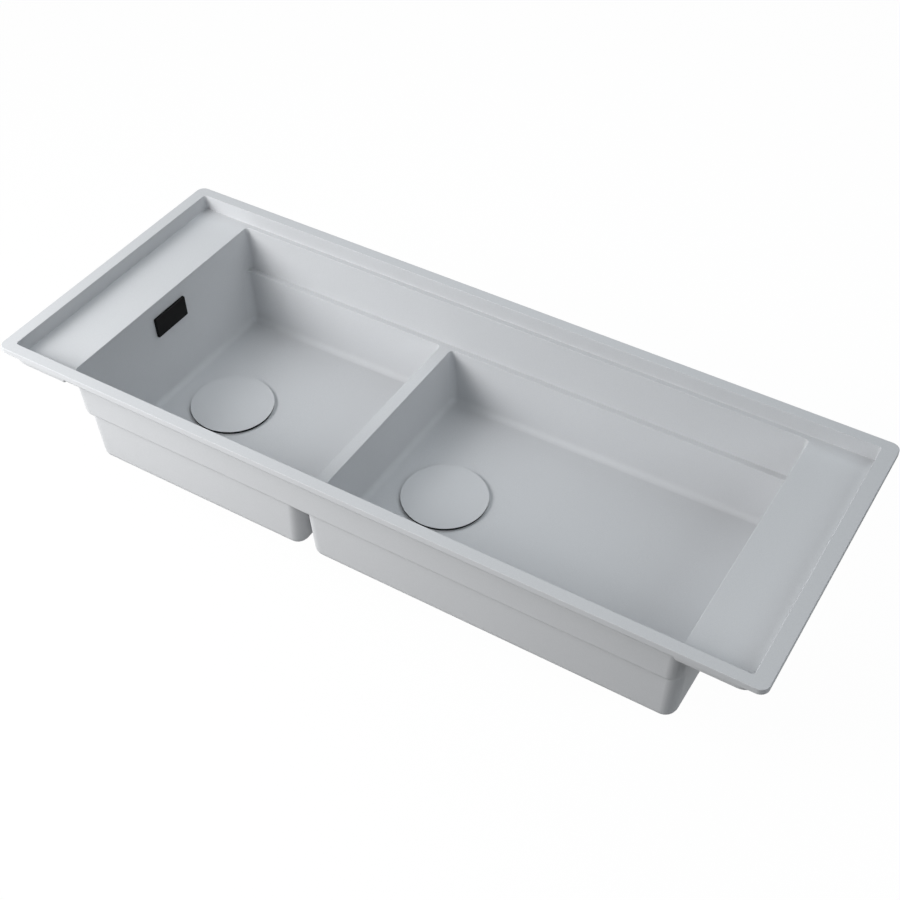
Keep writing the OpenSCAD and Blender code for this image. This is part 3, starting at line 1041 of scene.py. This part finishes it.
        def between(ring: Sequence[Point], start: Point, stop: Point) -> list[Point]:
            """Points of a ring from one on to another, both included.

            Args:
                ring: the ring.
                start: place of the first point.
                stop: place of the last one.

            Returns:
                The points.
            """
            first = min(range(len(ring)), key=lambda i: math.dist(ring[i], start))
            last = min(range(len(ring)), key=lambda i: math.dist(ring[i], stop))
            count = (last - first) % len(ring)
            return [ring[(first + i) % len(ring)] for i in range(count + 1)]

        z = self.ledge_z
        left_front, left_back = ((well.left, y, z) for y in ends.left)
        right_front, right_back = ((well.right, y, z) for y in ends.right)
        front = between(bottom, left_front, right_front)
        inner_right = between(right, right_back, right_front)[::-1]
        back = between(bottom, right_back, left_back)
        inner_left = between(left, left_front, left_back)[::-1]
        return front + inner_right[1:-1] + back + inner_left[1:-1]

    def flare(self, side: Side, point: Point, outline: Outline) -> float:
        """How much of the edge's rounding a point takes: none on the end wall, all elsewhere.

        Args:
            side: which bowl.
            point: the point.
            outline: the bowl's outline at the ledge.

        Returns:
            A share from 0 to 1.
        """
        away = point[0] - outline.left if side is Side.LEFT else outline.right - point[0]
        share = min(max(away / outline.corner, 0.0), 1.0)
        return share * share * (3 - 2 * share)

    def flared_ring(self, side: Side, step: int) -> list[Point]:
        """Ring of a bowl's top edge at one step of its rounding.

        Args:
            side: which bowl.
            step: step of the rounding, from the ledge down.

        Returns:
            The points.
        """
        out, down = self.quarter(self.edge_round)[step]
        z = self.ledge_z - down
        plain = self.bowl_at(side, z, self.well.corner)
        wide = plain.grown(out, self.well.corner)
        found = []
        for near, far in zip(plain.points(z), wide.points(z)):
            share = self.flare(side, near, plain)
            found.append(tuple(n + (f - n) * share for n, f in zip(near, far)))
        return found

    def tilt(self, side: Side, ring: Sequence[Point], share: float) -> list[Point]:
        """Lifts a ring to the slope of its bowl's floor.

        Args:
            side: which bowl.
            ring: points drawn for a level floor at the floor's height.
            share: how much of the slope the ring takes.

        Returns:
            The lifted points.
        """
        base, rise = self.floor_rise[side]
        bowl = self.bowl_at(side, self.floor_z, self.floor_fillet)
        span = bowl.right - bowl.left
        return [(x, y, z + share * (base + rise * (x - bowl.left) / span)) for x, y, z in ring]

    def add_bowl(self, skin: Skin, side: Side) -> None:
        """Adds one bowl from the lower ledge to its floor, its waste hole and the boss under it.

        Args:
            skin: the mesh.
            side: which bowl.
        """
        rounds = [self.flared_ring(side, step) for step in range(self.arc_steps + 1)]
        foot_z = self.floor_z + self.floor_fillet
        low = self.seat_bevel
        rings = list(rounds)
        for level in range(1, self.wall_levels + 1):
            share = level / self.wall_levels
            z = rounds[-1][0][2] + (foot_z - rounds[-1][0][2]) * share
            corner = self.well.corner + (self.floor_fillet + low - self.well.corner) * share
            rings.append(self.tilt(side, self.bowl_at(side, z, corner).points(z), share))
        foot = self.bowl_at(side, foot_z, self.floor_fillet + low)
        for up, out in self.quarter(self.floor_fillet, False)[::-1][1:]:
            z = self.floor_z + up
            rings.append(self.tilt(side, foot.grown(-out).points(z), 1.0))
        skin.bands(rings)
        seat = self.tilt(side, self.circle(side, self.seat_r + low, self.floor_z), 1.0)
        skin.fill(rings[-1], seat)
        seat_z = self.floor_z - self.seat_drop
        boss_z = self.base_z - self.boss_drop
        down = [
            (self.seat_r, self.floor_z - low),
            (self.seat_r, seat_z),
            (self.bore_r, seat_z),
            (self.bore_r, boss_z),
            (self.boss_r - 2 * low, boss_z),
            (self.boss_r, boss_z + 2 * low),
            (self.boss_r, self.base_z),
        ]
        skin.bands([seat] + [self.circle(side, r, z) for r, z in down])

    def circle(self, side: Side, radius: float, z: float) -> list[Point]:
        """Ring round a waste's axis."""
        return round_ring(self.drains[side], radius, z)

    def upper_outside(self, z: float) -> Outline:
        """Outside of the upper box at a height."""
        return self.well_at(z).grown(self.wall, self.outer_corner)

    def lower_outside(self, side: Side, z: float, corner: float) -> Outline:
        """Outside of a lower box at a height."""
        return self.bowl_at(side, z, corner).grown(self.wall, corner)

    def add_trays(self, skin: Skin) -> None:
        """Adds the underside of the rim and the trays under the shelves.

        Args:
            skin: the mesh.
        """
        outer = self.recess.grown(self.tray_wall, self.tray_corner)
        bottom_z = self.shelf_z - self.tray_wall
        step = self.bevel_blend
        left, right = self.well.left + self.bevel_inset, self.well.right - self.bevel_inset
        places = (left - step, left + step, right - step, right + step)
        sides = Sides(front=places, back=places)

        def bevel(x: float, y: float) -> float:
            """Radius of the lower edge at a place.

            Args:
                x: the place's X.
                y: the place's Y.

            Returns:
                The radius.
            """
            if not left < x < right:
                return self.tray_round
            return self.ledge_bevel if y < 0 else self.tray_wall

        top = outer.points(0.0, sides)
        inward = outer.grown(-MM).points(0.0, sides)
        rings = [top]
        for part in range(self.arc_steps + 1):
            angle = math.radians(90.0 * part / self.arc_steps)
            ring = []
            for (x, y, _), (inner_x, inner_y, _) in zip(top, inward):
                radius = bevel(x, y)
                drawn = radius * (1 - math.cos(angle)) / MM
                ring.append((x + (inner_x - x) * drawn, y + (inner_y - y) * drawn,
                             bottom_z + radius * (1 - math.sin(angle))))
            rings.append(ring)
        skin.bands(rings)
        under = self.rim.grown(-self.foot_bevel).points(0.0)
        skin.fill(under, top)
        skin.fill(rings[-1], self.upper_outside(bottom_z).points(bottom_z, self.outer_sides()))

    def outer_sides(self) -> Sides:
        """Places along the front and back where the corners of the lower boxes end.

        Returns:
            The places.
        """
        z = self.step_z
        left = self.lower_outside(Side.LEFT, z, self.outer_corner)
        right = self.lower_outside(Side.RIGHT, z, self.outer_corner)
        places = (left.right - self.outer_corner, right.left + self.outer_corner)
        return Sides(front=places, back=places)

    def add_outer_walls(self, skin: Skin) -> None:
        """Adds the outside of the upper box, the step under it and the two lower boxes.

        Args:
            skin: the mesh.
        """
        sides = self.outer_sides()
        z = self.step_z
        boxes = {side: self.lower_outside(side, z, self.outer_corner) for side in Side}
        step_ring = Outline(boxes[Side.LEFT].left, boxes[Side.RIGHT].right,
                            boxes[Side.LEFT].front, boxes[Side.LEFT].back, self.outer_corner)
        tray_z = self.shelf_z - self.tray_wall
        wall_foot = z + self.ledge_w
        upper = self.upper_outside(wall_foot).points(wall_foot, sides)
        inner = step_ring.points(z, sides)
        rings = [self.upper_outside(tray_z).points(tray_z, sides), upper]
        for part in range(1, self.arc_steps + 1):
            angle = math.radians(90.0 * part / self.arc_steps)
            share = 1 - math.cos(angle)
            rings.append([(a[0] + (b[0] - a[0]) * share, a[1] + (b[1] - a[1]) * share,
                           wall_foot - self.ledge_w * math.sin(angle)) for a, b in zip(upper, inner)])
        skin.bands(rings)
        self.add_gap_ceiling(skin, boxes)
        for side in Side:
            self.add_lower_box(skin, side)

    def add_gap_ceiling(self, skin: Skin, boxes: dict[Side, Outline]) -> None:
        """Adds the face between the tops of the two lower boxes.

        Args:
            skin: the mesh.
            boxes: outlines of the boxes' tops.
        """
        left = boxes[Side.LEFT].points(self.step_z)
        right = boxes[Side.RIGHT].points(self.step_z)
        corner = len(left) // 4
        left_side = left[: 2 * corner]
        right_side = right[2 * corner:]
        skin.face(left_side + right_side)

    def add_lower_box(self, skin: Skin, side: Side) -> None:
        """Adds the outside of one lower box down to its base.

        Args:
            skin: the mesh.
            side: which bowl's box.
        """
        foot_z = self.base_z + self.base_round
        foot = self.lower_outside(side, foot_z, self.outer_corner)
        rings = [self.lower_outside(side, self.step_z, self.outer_corner).points(self.step_z),
                 foot.points(foot_z)]
        for part in range(1, self.arc_steps + 1):
            angle = math.radians(90.0 * part / self.arc_steps)
            drawn = self.base_round * (1 - math.cos(angle))
            rings.append(foot.grown(-drawn).points(foot_z - self.base_round * math.sin(angle)))
        skin.bands(rings)
        skin.fill(rings[-1], self.circle(side, self.boss_r, self.base_z))

    def cut_overflow_slot(self, piece: bpy.types.Object) -> None:
        """Cuts the slot of the overflow through the left wall.

        Args:
            piece: the sink.
        """
        slot = OverflowPlate().slot_tool()
        cut = piece.modifiers.new("slot", "BOOLEAN")
        cut.operation = "DIFFERENCE"
        cut.solver = "EXACT"
        cut.object = slot
        applied(piece)
        bpy.data.objects.remove(slot)


# The overflow


@dataclass
class OverflowPlate:
    """Plain plate over the overflow slot, in the frame of the leaning left wall.

    Attributes:
        place: middle of the plate on the wall's face.
        lean: slope of the wall in degrees.
        size: width and height of the plate.
        stand: height of the plate's face above the wall.
        gap: space between its skirt and the wall.
        corner: radius of its corners.
        round: radius of its face's edge.
        arc_steps: steps of that edge.
        skirt: thickness of its skirt.
        inner_corner: corner radius inside the skirt.
        face: thickness of its face.
        slot: width and height of the slot behind it.
        slot_reach: where the slot's cutter starts and ends, seen from the wall's face.
        slot_play: how far the slot's ends are from half circles.
    """

    place: Point = (-447.98 * MM, 4.5 * MM, -53 * MM)
    lean: float = 3.0
    size: Flat = (65 * MM, 32 * MM)
    stand: float = 4 * MM
    gap: float = 0.3 * MM
    corner: float = 2 * MM
    round: float = 0.9 * MM
    arc_steps: int = 5
    skirt: float = 1.5 * MM
    inner_corner: float = 1 * MM
    face: float = 2 * MM
    slot: Flat = (48 * MM, 16 * MM)
    slot_reach: Flat = (-16 * MM, 7 * MM)
    slot_play: float = 0.01 * MM

    def leaning(self) -> Matrix:
        """Placement whose X is the wall's normal, into the bowl."""
        return Matrix.Translation(self.place) @ Matrix.Rotation(math.radians(-self.lean), 4, "Y")

    def on_wall(self, ring: Sequence[Point]) -> list[Point]:
        """Turns a ring drawn flat (width, height, stand) to its place on the wall."""
        place = self.leaning()
        return [tuple(place @ Vector((z, x, y))) for x, y, z in ring]

    def half(self, size: Flat, corner: float) -> Outline:
        """Outline round the middle."""
        return Outline(-size[0] / 2, size[0] / 2, -size[1] / 2, size[1] / 2, corner)

    def slot_tool(self) -> bpy.types.Object:
        """Cutter for the slot through the wall.

        Returns:
            The cutter.
        """
        skin = Skin()
        shape = self.half(self.slot, self.slot[1] / 2 - self.slot_play)
        ends = [self.on_wall(shape.points(x)) for x in self.slot_reach]
        skin.bands(ends)
        for end in ends:
            skin.face(end)
        return link("slot_tool", skin.mesh("slot_tool"))

    def build(self) -> bpy.types.Object:
        """Builds and dresses the plate, with its rounded face and its skirt.

        Returns:
            The finished piece.
        """
        skin = Skin()
        outer = self.half(self.size, self.corner)
        rings = [outer.points(self.gap)]
        for part in range(self.arc_steps + 1):
            angle = math.radians(90.0 * part / self.arc_steps)
            drawn = self.round * (1 - math.cos(angle))
            height = self.stand - self.round + self.round * math.sin(angle)
            rings.append(outer.grown(-drawn).points(height))
        inner = outer.grown(-self.skirt, self.inner_corner)
        hollow = [inner.points(z) for z in (self.gap, self.stand - self.face)]
        rings = [self.on_wall(ring) for ring in rings]
        hollow = [self.on_wall(ring) for ring in hollow]
        skin.bands(rings)
        skin.face(rings[-1])
        skin.band(hollow[0], rings[0])
        skin.bands(hollow)
        skin.face(hollow[1])
        piece = link("overflow_plate", skin.mesh("overflow_plate"))
        return dressed(shaded(piece), BLACK_PLASTIC, Slot.BLACK_PLASTIC, "sink", "overflow_cover")


# The wastes


@dataclass
class DrainCover:
    """Round cover over a waste, on its near-black carrier, whose dark skirt is black plastic and partly
    painted shade of the gap under the cover.
        bevel: rounding of its edge.
        facets: facets round the cover.
        crease: angle in degrees past which its edge is crisp.
    """

    side: Side
    radius: float = 61 * MM
    bevel: float = 0.3 * MM
    facets: int = 160
    crease: float = 50.0

    def build(self) -> None:
        """Builds and dresses the cover, and makes its carrier near black, partly as painted shade of the gap
        under the cover.
        """
        name = self.side.value
        low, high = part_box(f"{name}_drain_cover")
        centre = middle(f"{name}_drain_cover")
        skin = Skin()
        top, foot = high[2], low[2]
        section = [(0.0, foot), (self.radius, foot), (self.radius, top), (0.0, top)]
        skin.lathe(softened(section, self.bevel), centre, self.facets)
        piece = link(f"{name}_cover_disc", skin.mesh(f"{name}_cover_disc"))
        dressed(shaded(piece, self.crease), COVER, Slot.COVER, f"{name}_lid", f"{name}_drain_cover")
        # The carrier's near-black skirt is black plastic and also painted shade of the gap under the cover
        dress_node(f"{name}_cover_carrier", BLACK_PLASTIC)


# The hose and its nuts


@dataclass
class OverflowHose:
    """Ribbed hose that runs down from the overflow housing and round a bend to the left waste.

    Attributes:
        radius: radius of the hose's ribs.
        bore: radius of its bore.
        bend: radius of the bend's middle line.
        pitch: length of one rib with its groove.
        groove: depth of the grooves.
        step: length of one step along the hose.
        around: facets round the hose.
        arc_steps: steps of the path's bend.
        crease: angle in degrees past which an edge is crisp.
        overrun: how far the path and the bore run past the hose's ends.
    """

    radius: float = 12.5 * MM
    bore: float = 9.5 * MM
    bend: float = 30 * MM
    pitch: float = 5 * MM
    groove: float = 1.5 * MM
    step: float = 0.5 * MM
    around: int = 48
    arc_steps: int = 24
    crease: float = 60.0
    overrun: float = 1 * MM

    def path(self) -> list[Point]:
        """Middle line, from the housing down and along to the waste, past both ends by the overrun.

        Returns:
            The points of the line.
        """
        low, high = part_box("overflow_hose")
        x, y, z = low[0] + self.radius, (low[1] + high[1]) / 2, low[2] + self.radius
        turns = [math.radians(90.0 * step / self.arc_steps) for step in range(self.arc_steps + 1)]
        arc = [(x + self.bend * (1 - math.cos(a)), y, z + self.bend * (1 - math.sin(a))) for a in turns]
        return [(x, y, high[2] + self.overrun)] + arc + [(high[0] + self.overrun, y, z)]

    def build(self) -> bpy.types.Object:
        """Sweeps the ribbed wall along the path and bores it.

        Returns:
            The finished piece.
        """
        data = bpy.data.curves.new("hose_path", "CURVE")
        data.dimensions = "3D"
        points = self.path()
        spline = data.splines.new("POLY")
        spline.points.add(len(points) - 1)
        for spot, point in zip(spline.points, points):
            spot.co = (*point, 1.0)
        bench = TreeBench("ribbed_hose", Radius=self.radius, Bore=self.bore, Pitch=self.pitch,
                          Groove=self.groove, Step=self.step, Around=self.around, Overrun=self.overrun)
        given = bench.given

        def tube(curve: object, size: object, **more: object) -> bpy.types.NodeSocket:
            """Adds a closed tube along a curve.

            Args:
                curve: socket of the curve.
                size: the tube's radius.
                **more: further inputs of the node that sweeps it.

            Returns:
                Socket of the mesh.
            """
            ring = bench.add("GeometryNodeCurvePrimitiveCircle", Resolution=given["Around"], Radius=size)
            return bench.add("GeometryNodeCurveToMesh", Curve=curve, Profile_Curve=ring, Fill_Caps=True,
                             **more)

        line = bench.add("GeometryNodeResampleCurve", Curve=given["Geometry"], Length=given["Step"],
                         mode="LENGTH")
        along = bench.add("GeometryNodeSplineParameter").node.outputs["Length"]
        turn = bench.math("DIVIDE", bench.math("MULTIPLY", along, math.tau), given["Pitch"])
        wave = bench.math("MULTIPLY", bench.math("SUBTRACT", 1.0, bench.math("COSINE", turn)), 0.5)
        depth = bench.math("DIVIDE", given["Groove"], given["Radius"])
        scale = bench.math("SUBTRACT", 1.0, bench.math("MULTIPLY", bench.math("POWER", wave, 2.0), depth))
        whole = bench.add("GeometryNodeCurveLength", Curve=line)
        own = bench.add("GeometryNodeTrimCurve", Curve=line, Start=given["Overrun"], mode="LENGTH",
                        End=bench.math("SUBTRACT", whole, given["Overrun"]))
        outer = tube(own, given["Radius"], Scale=scale)
        inner = tube(line, given["Bore"])
        bored = bench.add("GeometryNodeMeshBoolean", outer, inner, operation="DIFFERENCE", solver="EXACT")
        bench.finish(bored, HOSE_PLASTIC)
        piece = bpy.data.objects.new("ribbed_hose", data)
        bpy.context.scene.collection.objects.link(piece)
        piece = bench.run(piece)
        return dressed(shaded(piece, self.crease), HOSE_PLASTIC, Slot.HOSE, "sink", "overflow_hose")


@dataclass
class GripNut:
    """Round nut or cap with a ring of small grips.

    Attributes:
        radius: radius over the grips.
        length: length along the axis.
        bore: radius of the hole.
        end: thickness of the closed end, or none.
        grips: number of grips.
        grip: radius of a grip.
        grip_facets: facets round a grip.
        bevel: rounding of its edges.
        facets: facets round the nut.
        crease: angle in degrees past which an edge is crisp.
    """

    radius: float = 15.8 * MM
    length: float = 12 * MM
    bore: float = 12.8 * MM
    end: float = 0.0
    grips: int = 24
    grip: float = 0.9 * MM
    grip_facets: int = 12
    bevel: float = 0.6 * MM
    facets: int = 72
    crease: float = 35.0

    def section(self) -> list[Flat]:
        """Closed half section, from the low end up.

        Returns:
            Radius and height of each corner.
        """
        outer = self.radius - self.grip
        if self.end:
            return [(0.0, 0.0), (outer, 0.0), (outer, self.length), (self.bore, self.length),
                    (self.bore, self.end), (0.0, self.end)]
        return [(self.bore, 0.0), (outer, 0.0), (outer, self.length), (self.bore, self.length)]

    def build(self, name: str, place: Point, turn: Point) -> bpy.types.Object:
        """Turns the nut, sets its grips round it and puts it in its place.

        Args:
            name: name of the piece.
            place: middle of its low end.
            turn: turn of its axis away from upright.

        Returns:
            The plain piece, not yet dressed.
        """
        skin = Skin()
        skin.lathe(softened(self.section(), self.bevel, 2), (0.0, 0.0), self.facets)
        bench = TreeBench(name, Grips=self.grips, Facets=self.grip_facets, Ring=self.radius - self.grip,
                          Grip=self.grip, Length=self.length - 2 * self.bevel,
                          Middle=(0.0, 0.0, self.length / 2), Place=place, Turn=turn)
        given = bench.given
        ring = bench.add("GeometryNodeMeshCircle", Vertices=given["Grips"], Radius=given["Ring"])
        bar = bench.add("GeometryNodeMeshCylinder", Vertices=given["Facets"], Radius=given["Grip"],
                        Depth=given["Length"])
        bars = bench.add("GeometryNodeInstanceOnPoints", Points=ring, Instance=bar)
        raised = bench.add("GeometryNodeTransform", Geometry=bars, Translation=given["Middle"])
        join = bench.tree.nodes.new("GeometryNodeJoinGeometry")
        for part in (given["Geometry"], raised):
            bench.tree.links.new(part, join.inputs[0])
        placed = bench.add("GeometryNodeTransform", Geometry=join.outputs[0], Translation=given["Place"],
                           Rotation=given["Turn"])
        bench.finish(placed, DARK_PLASTIC)
        return shaded(bench.run(link(name, skin.mesh(name))), self.crease)


@dataclass
class HoseEnds:
    """The two union nuts of the hose, and the cap on the right waste's side inlet.

    Attributes:
        lap: how far a nut reaches past the hose's end.
        cap_wall: thickness of the cap.
        cap_grips: number of grips round the cap.
        cap_grip: radius of such a grip.
    """

    lap: float = 3.7 * MM
    cap_wall: float = 2 * MM
    cap_grips: int = 20
    cap_grip: float = 0.6 * MM

    def build(self) -> None:
        """Builds and dresses the nuts and the cap."""
        low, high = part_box("overflow_hose")
        nut = GripNut()
        radius = OverflowHose.radius
        over = (low[0] + radius, (low[1] + high[1]) / 2, high[2] + self.lap - nut.length)
        side = (high[0] + self.lap - nut.length, over[1], low[2] + radius)
        across = (0.0, math.pi / 2, 0.0)
        upper = nut.build("housing_nut", over, (0.0, 0.0, 0.0))
        lower = nut.build("inlet_nut", side, across)
        dressed(upper, DARK_PLASTIC, Slot.DARK_PLASTIC, "sink", "hose_nuts")
        dressed(lower, DARK_PLASTIC, Slot.DARK_PLASTIC, "sink", "hose_nuts")
        low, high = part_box("right_inlet_cap")
        radius = (high[2] - low[2]) / 2
        cap = GripNut(radius=radius, length=high[0] - low[0], bore=radius - self.cap_wall, end=self.cap_wall,
                      grips=self.cap_grips, grip=self.cap_grip)
        piece = cap.build("inlet_cap", (low[0], (low[1] + high[1]) / 2, low[2] + radius), across)
        dressed(piece, DARK_PLASTIC, Slot.DARK_PLASTIC, "sink", "right_inlet_cap")


NODE_FINISHES: dict[str, Finish] = {
    "flange_seal": RUBBER,
    "waste_flange": STEEL,
    "body_seal": RUBBER,
    "waste_body": DARK_PLASTIC,
    "waste_tail": DARK_PLASTIC,
    "thread_insert": BRASS,
    "centre_screw": STEEL,
    "basket": STEEL,
    "basket_plug": RUBBER,
    "basket_stem": STEEL,
}

SINGLE_FINISHES: dict[str, Finish] = {
    "overflow_insert": DARK_PLASTIC,
    "overflow_screws": STEEL,
    "overflow_seal": RUBBER,
    "overflow_housing": DARK_PLASTIC,
}


# The studio


def seen_rays(tree: bpy.types.NodeTree) -> bpy.types.NodeSocket:
    """Tells the rays that show the background from those that light the object.

    Args:
        tree: node tree of the floor or the world.

    Returns:
        A socket that is 1 for camera, glossy and transmission rays, and 0 for all others.
    """
    path = tree.nodes.new("ShaderNodeLightPath")
    seen = path.outputs["Is Camera Ray"]
    for kind in ("Is Glossy Ray", "Is Transmission Ray"):
        either = tree.nodes.new("ShaderNodeMath")
        either.operation = "MAXIMUM"
        tree.links.new(seen, either.inputs[0])
        tree.links.new(path.outputs[kind], either.inputs[1])
        seen = either.outputs[0]
    return seen


@dataclass(frozen=True)
class Lamp:
    """Square area lamp.

    Attributes:
        name: its name.
        place: where it stands.
        size: side of the square.
        power: power in watts.
        tint: linear colour.
    """

    name: str
    place: Point
    size: float
    power: float
    tint: Point = (1.0, 1.0, 1.0)

    def build(self, aim: Point) -> None:
        """Adds the lamp.

        Args:
            aim: the point it faces.
        """
        data = bpy.data.lights.new(self.name, "AREA")
        data.size = self.size
        data.energy = self.power
        data.color = self.tint
        lamp = bpy.data.objects.new(self.name, data)
        bpy.context.scene.collection.objects.link(lamp)
        lamp.location = self.place
        lamp.rotation_euler = (Vector(aim) - Vector(self.place)).to_track_quat("-Z", "Y").to_euler()


COOL = (0.9, 0.96, 1.0)
LAMPS = (
    Lamp("key", (-1.12, -1.15, 0.85), 1.1, 36.0),
    Lamp("top", (-0.1, 1.0, 1.6), 1.4, 13.5, COOL),
    Lamp("side", (1.9, -0.6, 1.4), 1.2, 12.0, COOL),
)


@dataclass
class Studio:
    """Pale floor, soft light and the camera.

    Attributes:
        camera_place: where the camera stands.
        azimuth: its turn about the upright, in degrees.
        elevation: how far it looks down, in degrees.
        lens: focal length in millimetres.
        sensor: width of its sensor in millimetres.
        floor_drop: gap between the object and the floor.
        floor_half: half the floor's side.
        floor_tone: grey that the floor lights the object with.
        floor_roughness: roughness of that grey.
        floor_glow: strength of the floor's white.
        floor_white: share of that white over the shadowed grey.
        world_tone: strength of the world's light on the object.
        aim: the point that the lamps face.
        white: colour of the background.
    """

    camera_place: Point = (0.7370, -1.1756, 1.2576)
    azimuth: float = 31.185
    elevation: float = 44.21
    lens: float = 57.77
    sensor: float = 36.0
    floor_drop: float = 0.5 * MM
    floor_half: float = 6.0
    floor_tone: float = 0.42
    floor_roughness: float = 0.9
    floor_glow: float = 1.04
    floor_white: float = 0.94
    world_tone: float = 0.04
    aim: Point = (-0.2, 0.0, -0.05)
    white: tuple[float, float, float, float] = (1.0, 1.0, 1.0, 1.0)

    def build(self) -> None:
        """Adds the floor, the lamps, the world and the camera."""
        self.add_camera()
        self.add_floor()
        self.add_world()
        for lamp in LAMPS:
            lamp.build(self.aim)

    def add_camera(self) -> None:
        """Adds the camera at its place."""
        data = bpy.data.cameras.new("camera")
        data.lens = self.lens
        data.sensor_width = self.sensor
        camera = bpy.data.objects.new("camera", data)
        bpy.context.scene.collection.objects.link(camera)
        camera.location = self.camera_place
        camera.rotation_euler = (math.radians(90 - self.elevation), 0.0, math.radians(self.azimuth))
        bpy.context.scene.camera = camera

    def add_floor(self) -> None:
        """Adds the floor under the sink, white to the camera apart from the shadow."""
        low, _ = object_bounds()
        z = low[2] - self.floor_drop
        half = self.floor_half
        corner_points = [(x * half, y * half, z) for x, y in ((-1, -1), (1, -1), (1, 1), (-1, 1))]
        mesh = bpy.data.meshes.new("floor")
        mesh.from_pydata(corner_points, [], [(0, 1, 2, 3)])
        floor = link("floor", mesh)
        bench = NodeBench("floor_white")
        tree = bench.tree
        bench.shader.inputs["Base Color"].default_value = (*(self.floor_tone,) * 3, 1.0)
        bench.shader.inputs["Roughness"].default_value = self.floor_roughness
        glow = bench.add("ShaderNodeEmission", Color=self.white, Strength=self.floor_glow)
        share = bench.add("ShaderNodeMath", operation="MULTIPLY")
        bench.put(share.inputs[0], seen_rays(tree))
        share.inputs[1].default_value = self.floor_white
        mix = bench.add("ShaderNodeMixShader")
        bench.put(mix.inputs["Fac"], share.outputs[0])
        bench.put(mix.inputs[1], bench.shader.outputs["BSDF"])
        bench.put(mix.inputs[2], glow.outputs["Emission"])
        bench.put(tree.nodes["Material Output"].inputs["Surface"], mix.outputs["Shader"])
        floor.data.materials.append(bench.material)
        floor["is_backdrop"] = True

    def add_world(self) -> None:
        """Adds a dim world that the camera sees as white."""
        world = bpy.data.worlds.new("world")
        bpy.context.scene.world = world
        world.use_nodes = True
        tree = world.node_tree
        back = tree.nodes["Background"]
        level = tree.nodes.new("ShaderNodeMapRange")
        level.inputs["To Min"].default_value = self.world_tone
        level.inputs["To Max"].default_value = 1.0
        tree.links.new(seen_rays(tree), level.inputs["Value"])
        back.inputs["Color"].default_value = self.white
        tree.links.new(level.outputs["Result"], back.inputs["Strength"])


def corners(box: tuple[Vector, Vector]) -> list[list[float]]:
    """A box as plain lists of numbers."""
    return [[float(c) for c in corner] for corner in box]


def main() -> None:
    logging.basicConfig(level=logging.INFO, format="%(message)s")
    bpy.context.scene.view_settings.view_transform = "Standard"
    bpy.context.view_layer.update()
    Studio().build()
    SinkBody().build()
    OverflowPlate().build()
    OverflowHose().build()
    HoseEnds().build()
    for side in Side:
        DrainCover(side).build()
        for part, finish in NODE_FINISHES.items():
            dress_node(f"{side.value}_{part}", finish)
    for node, finish in SINGLE_FINISHES.items():
        dress_node(node, finish)


if __name__ == "__main__":
    main()
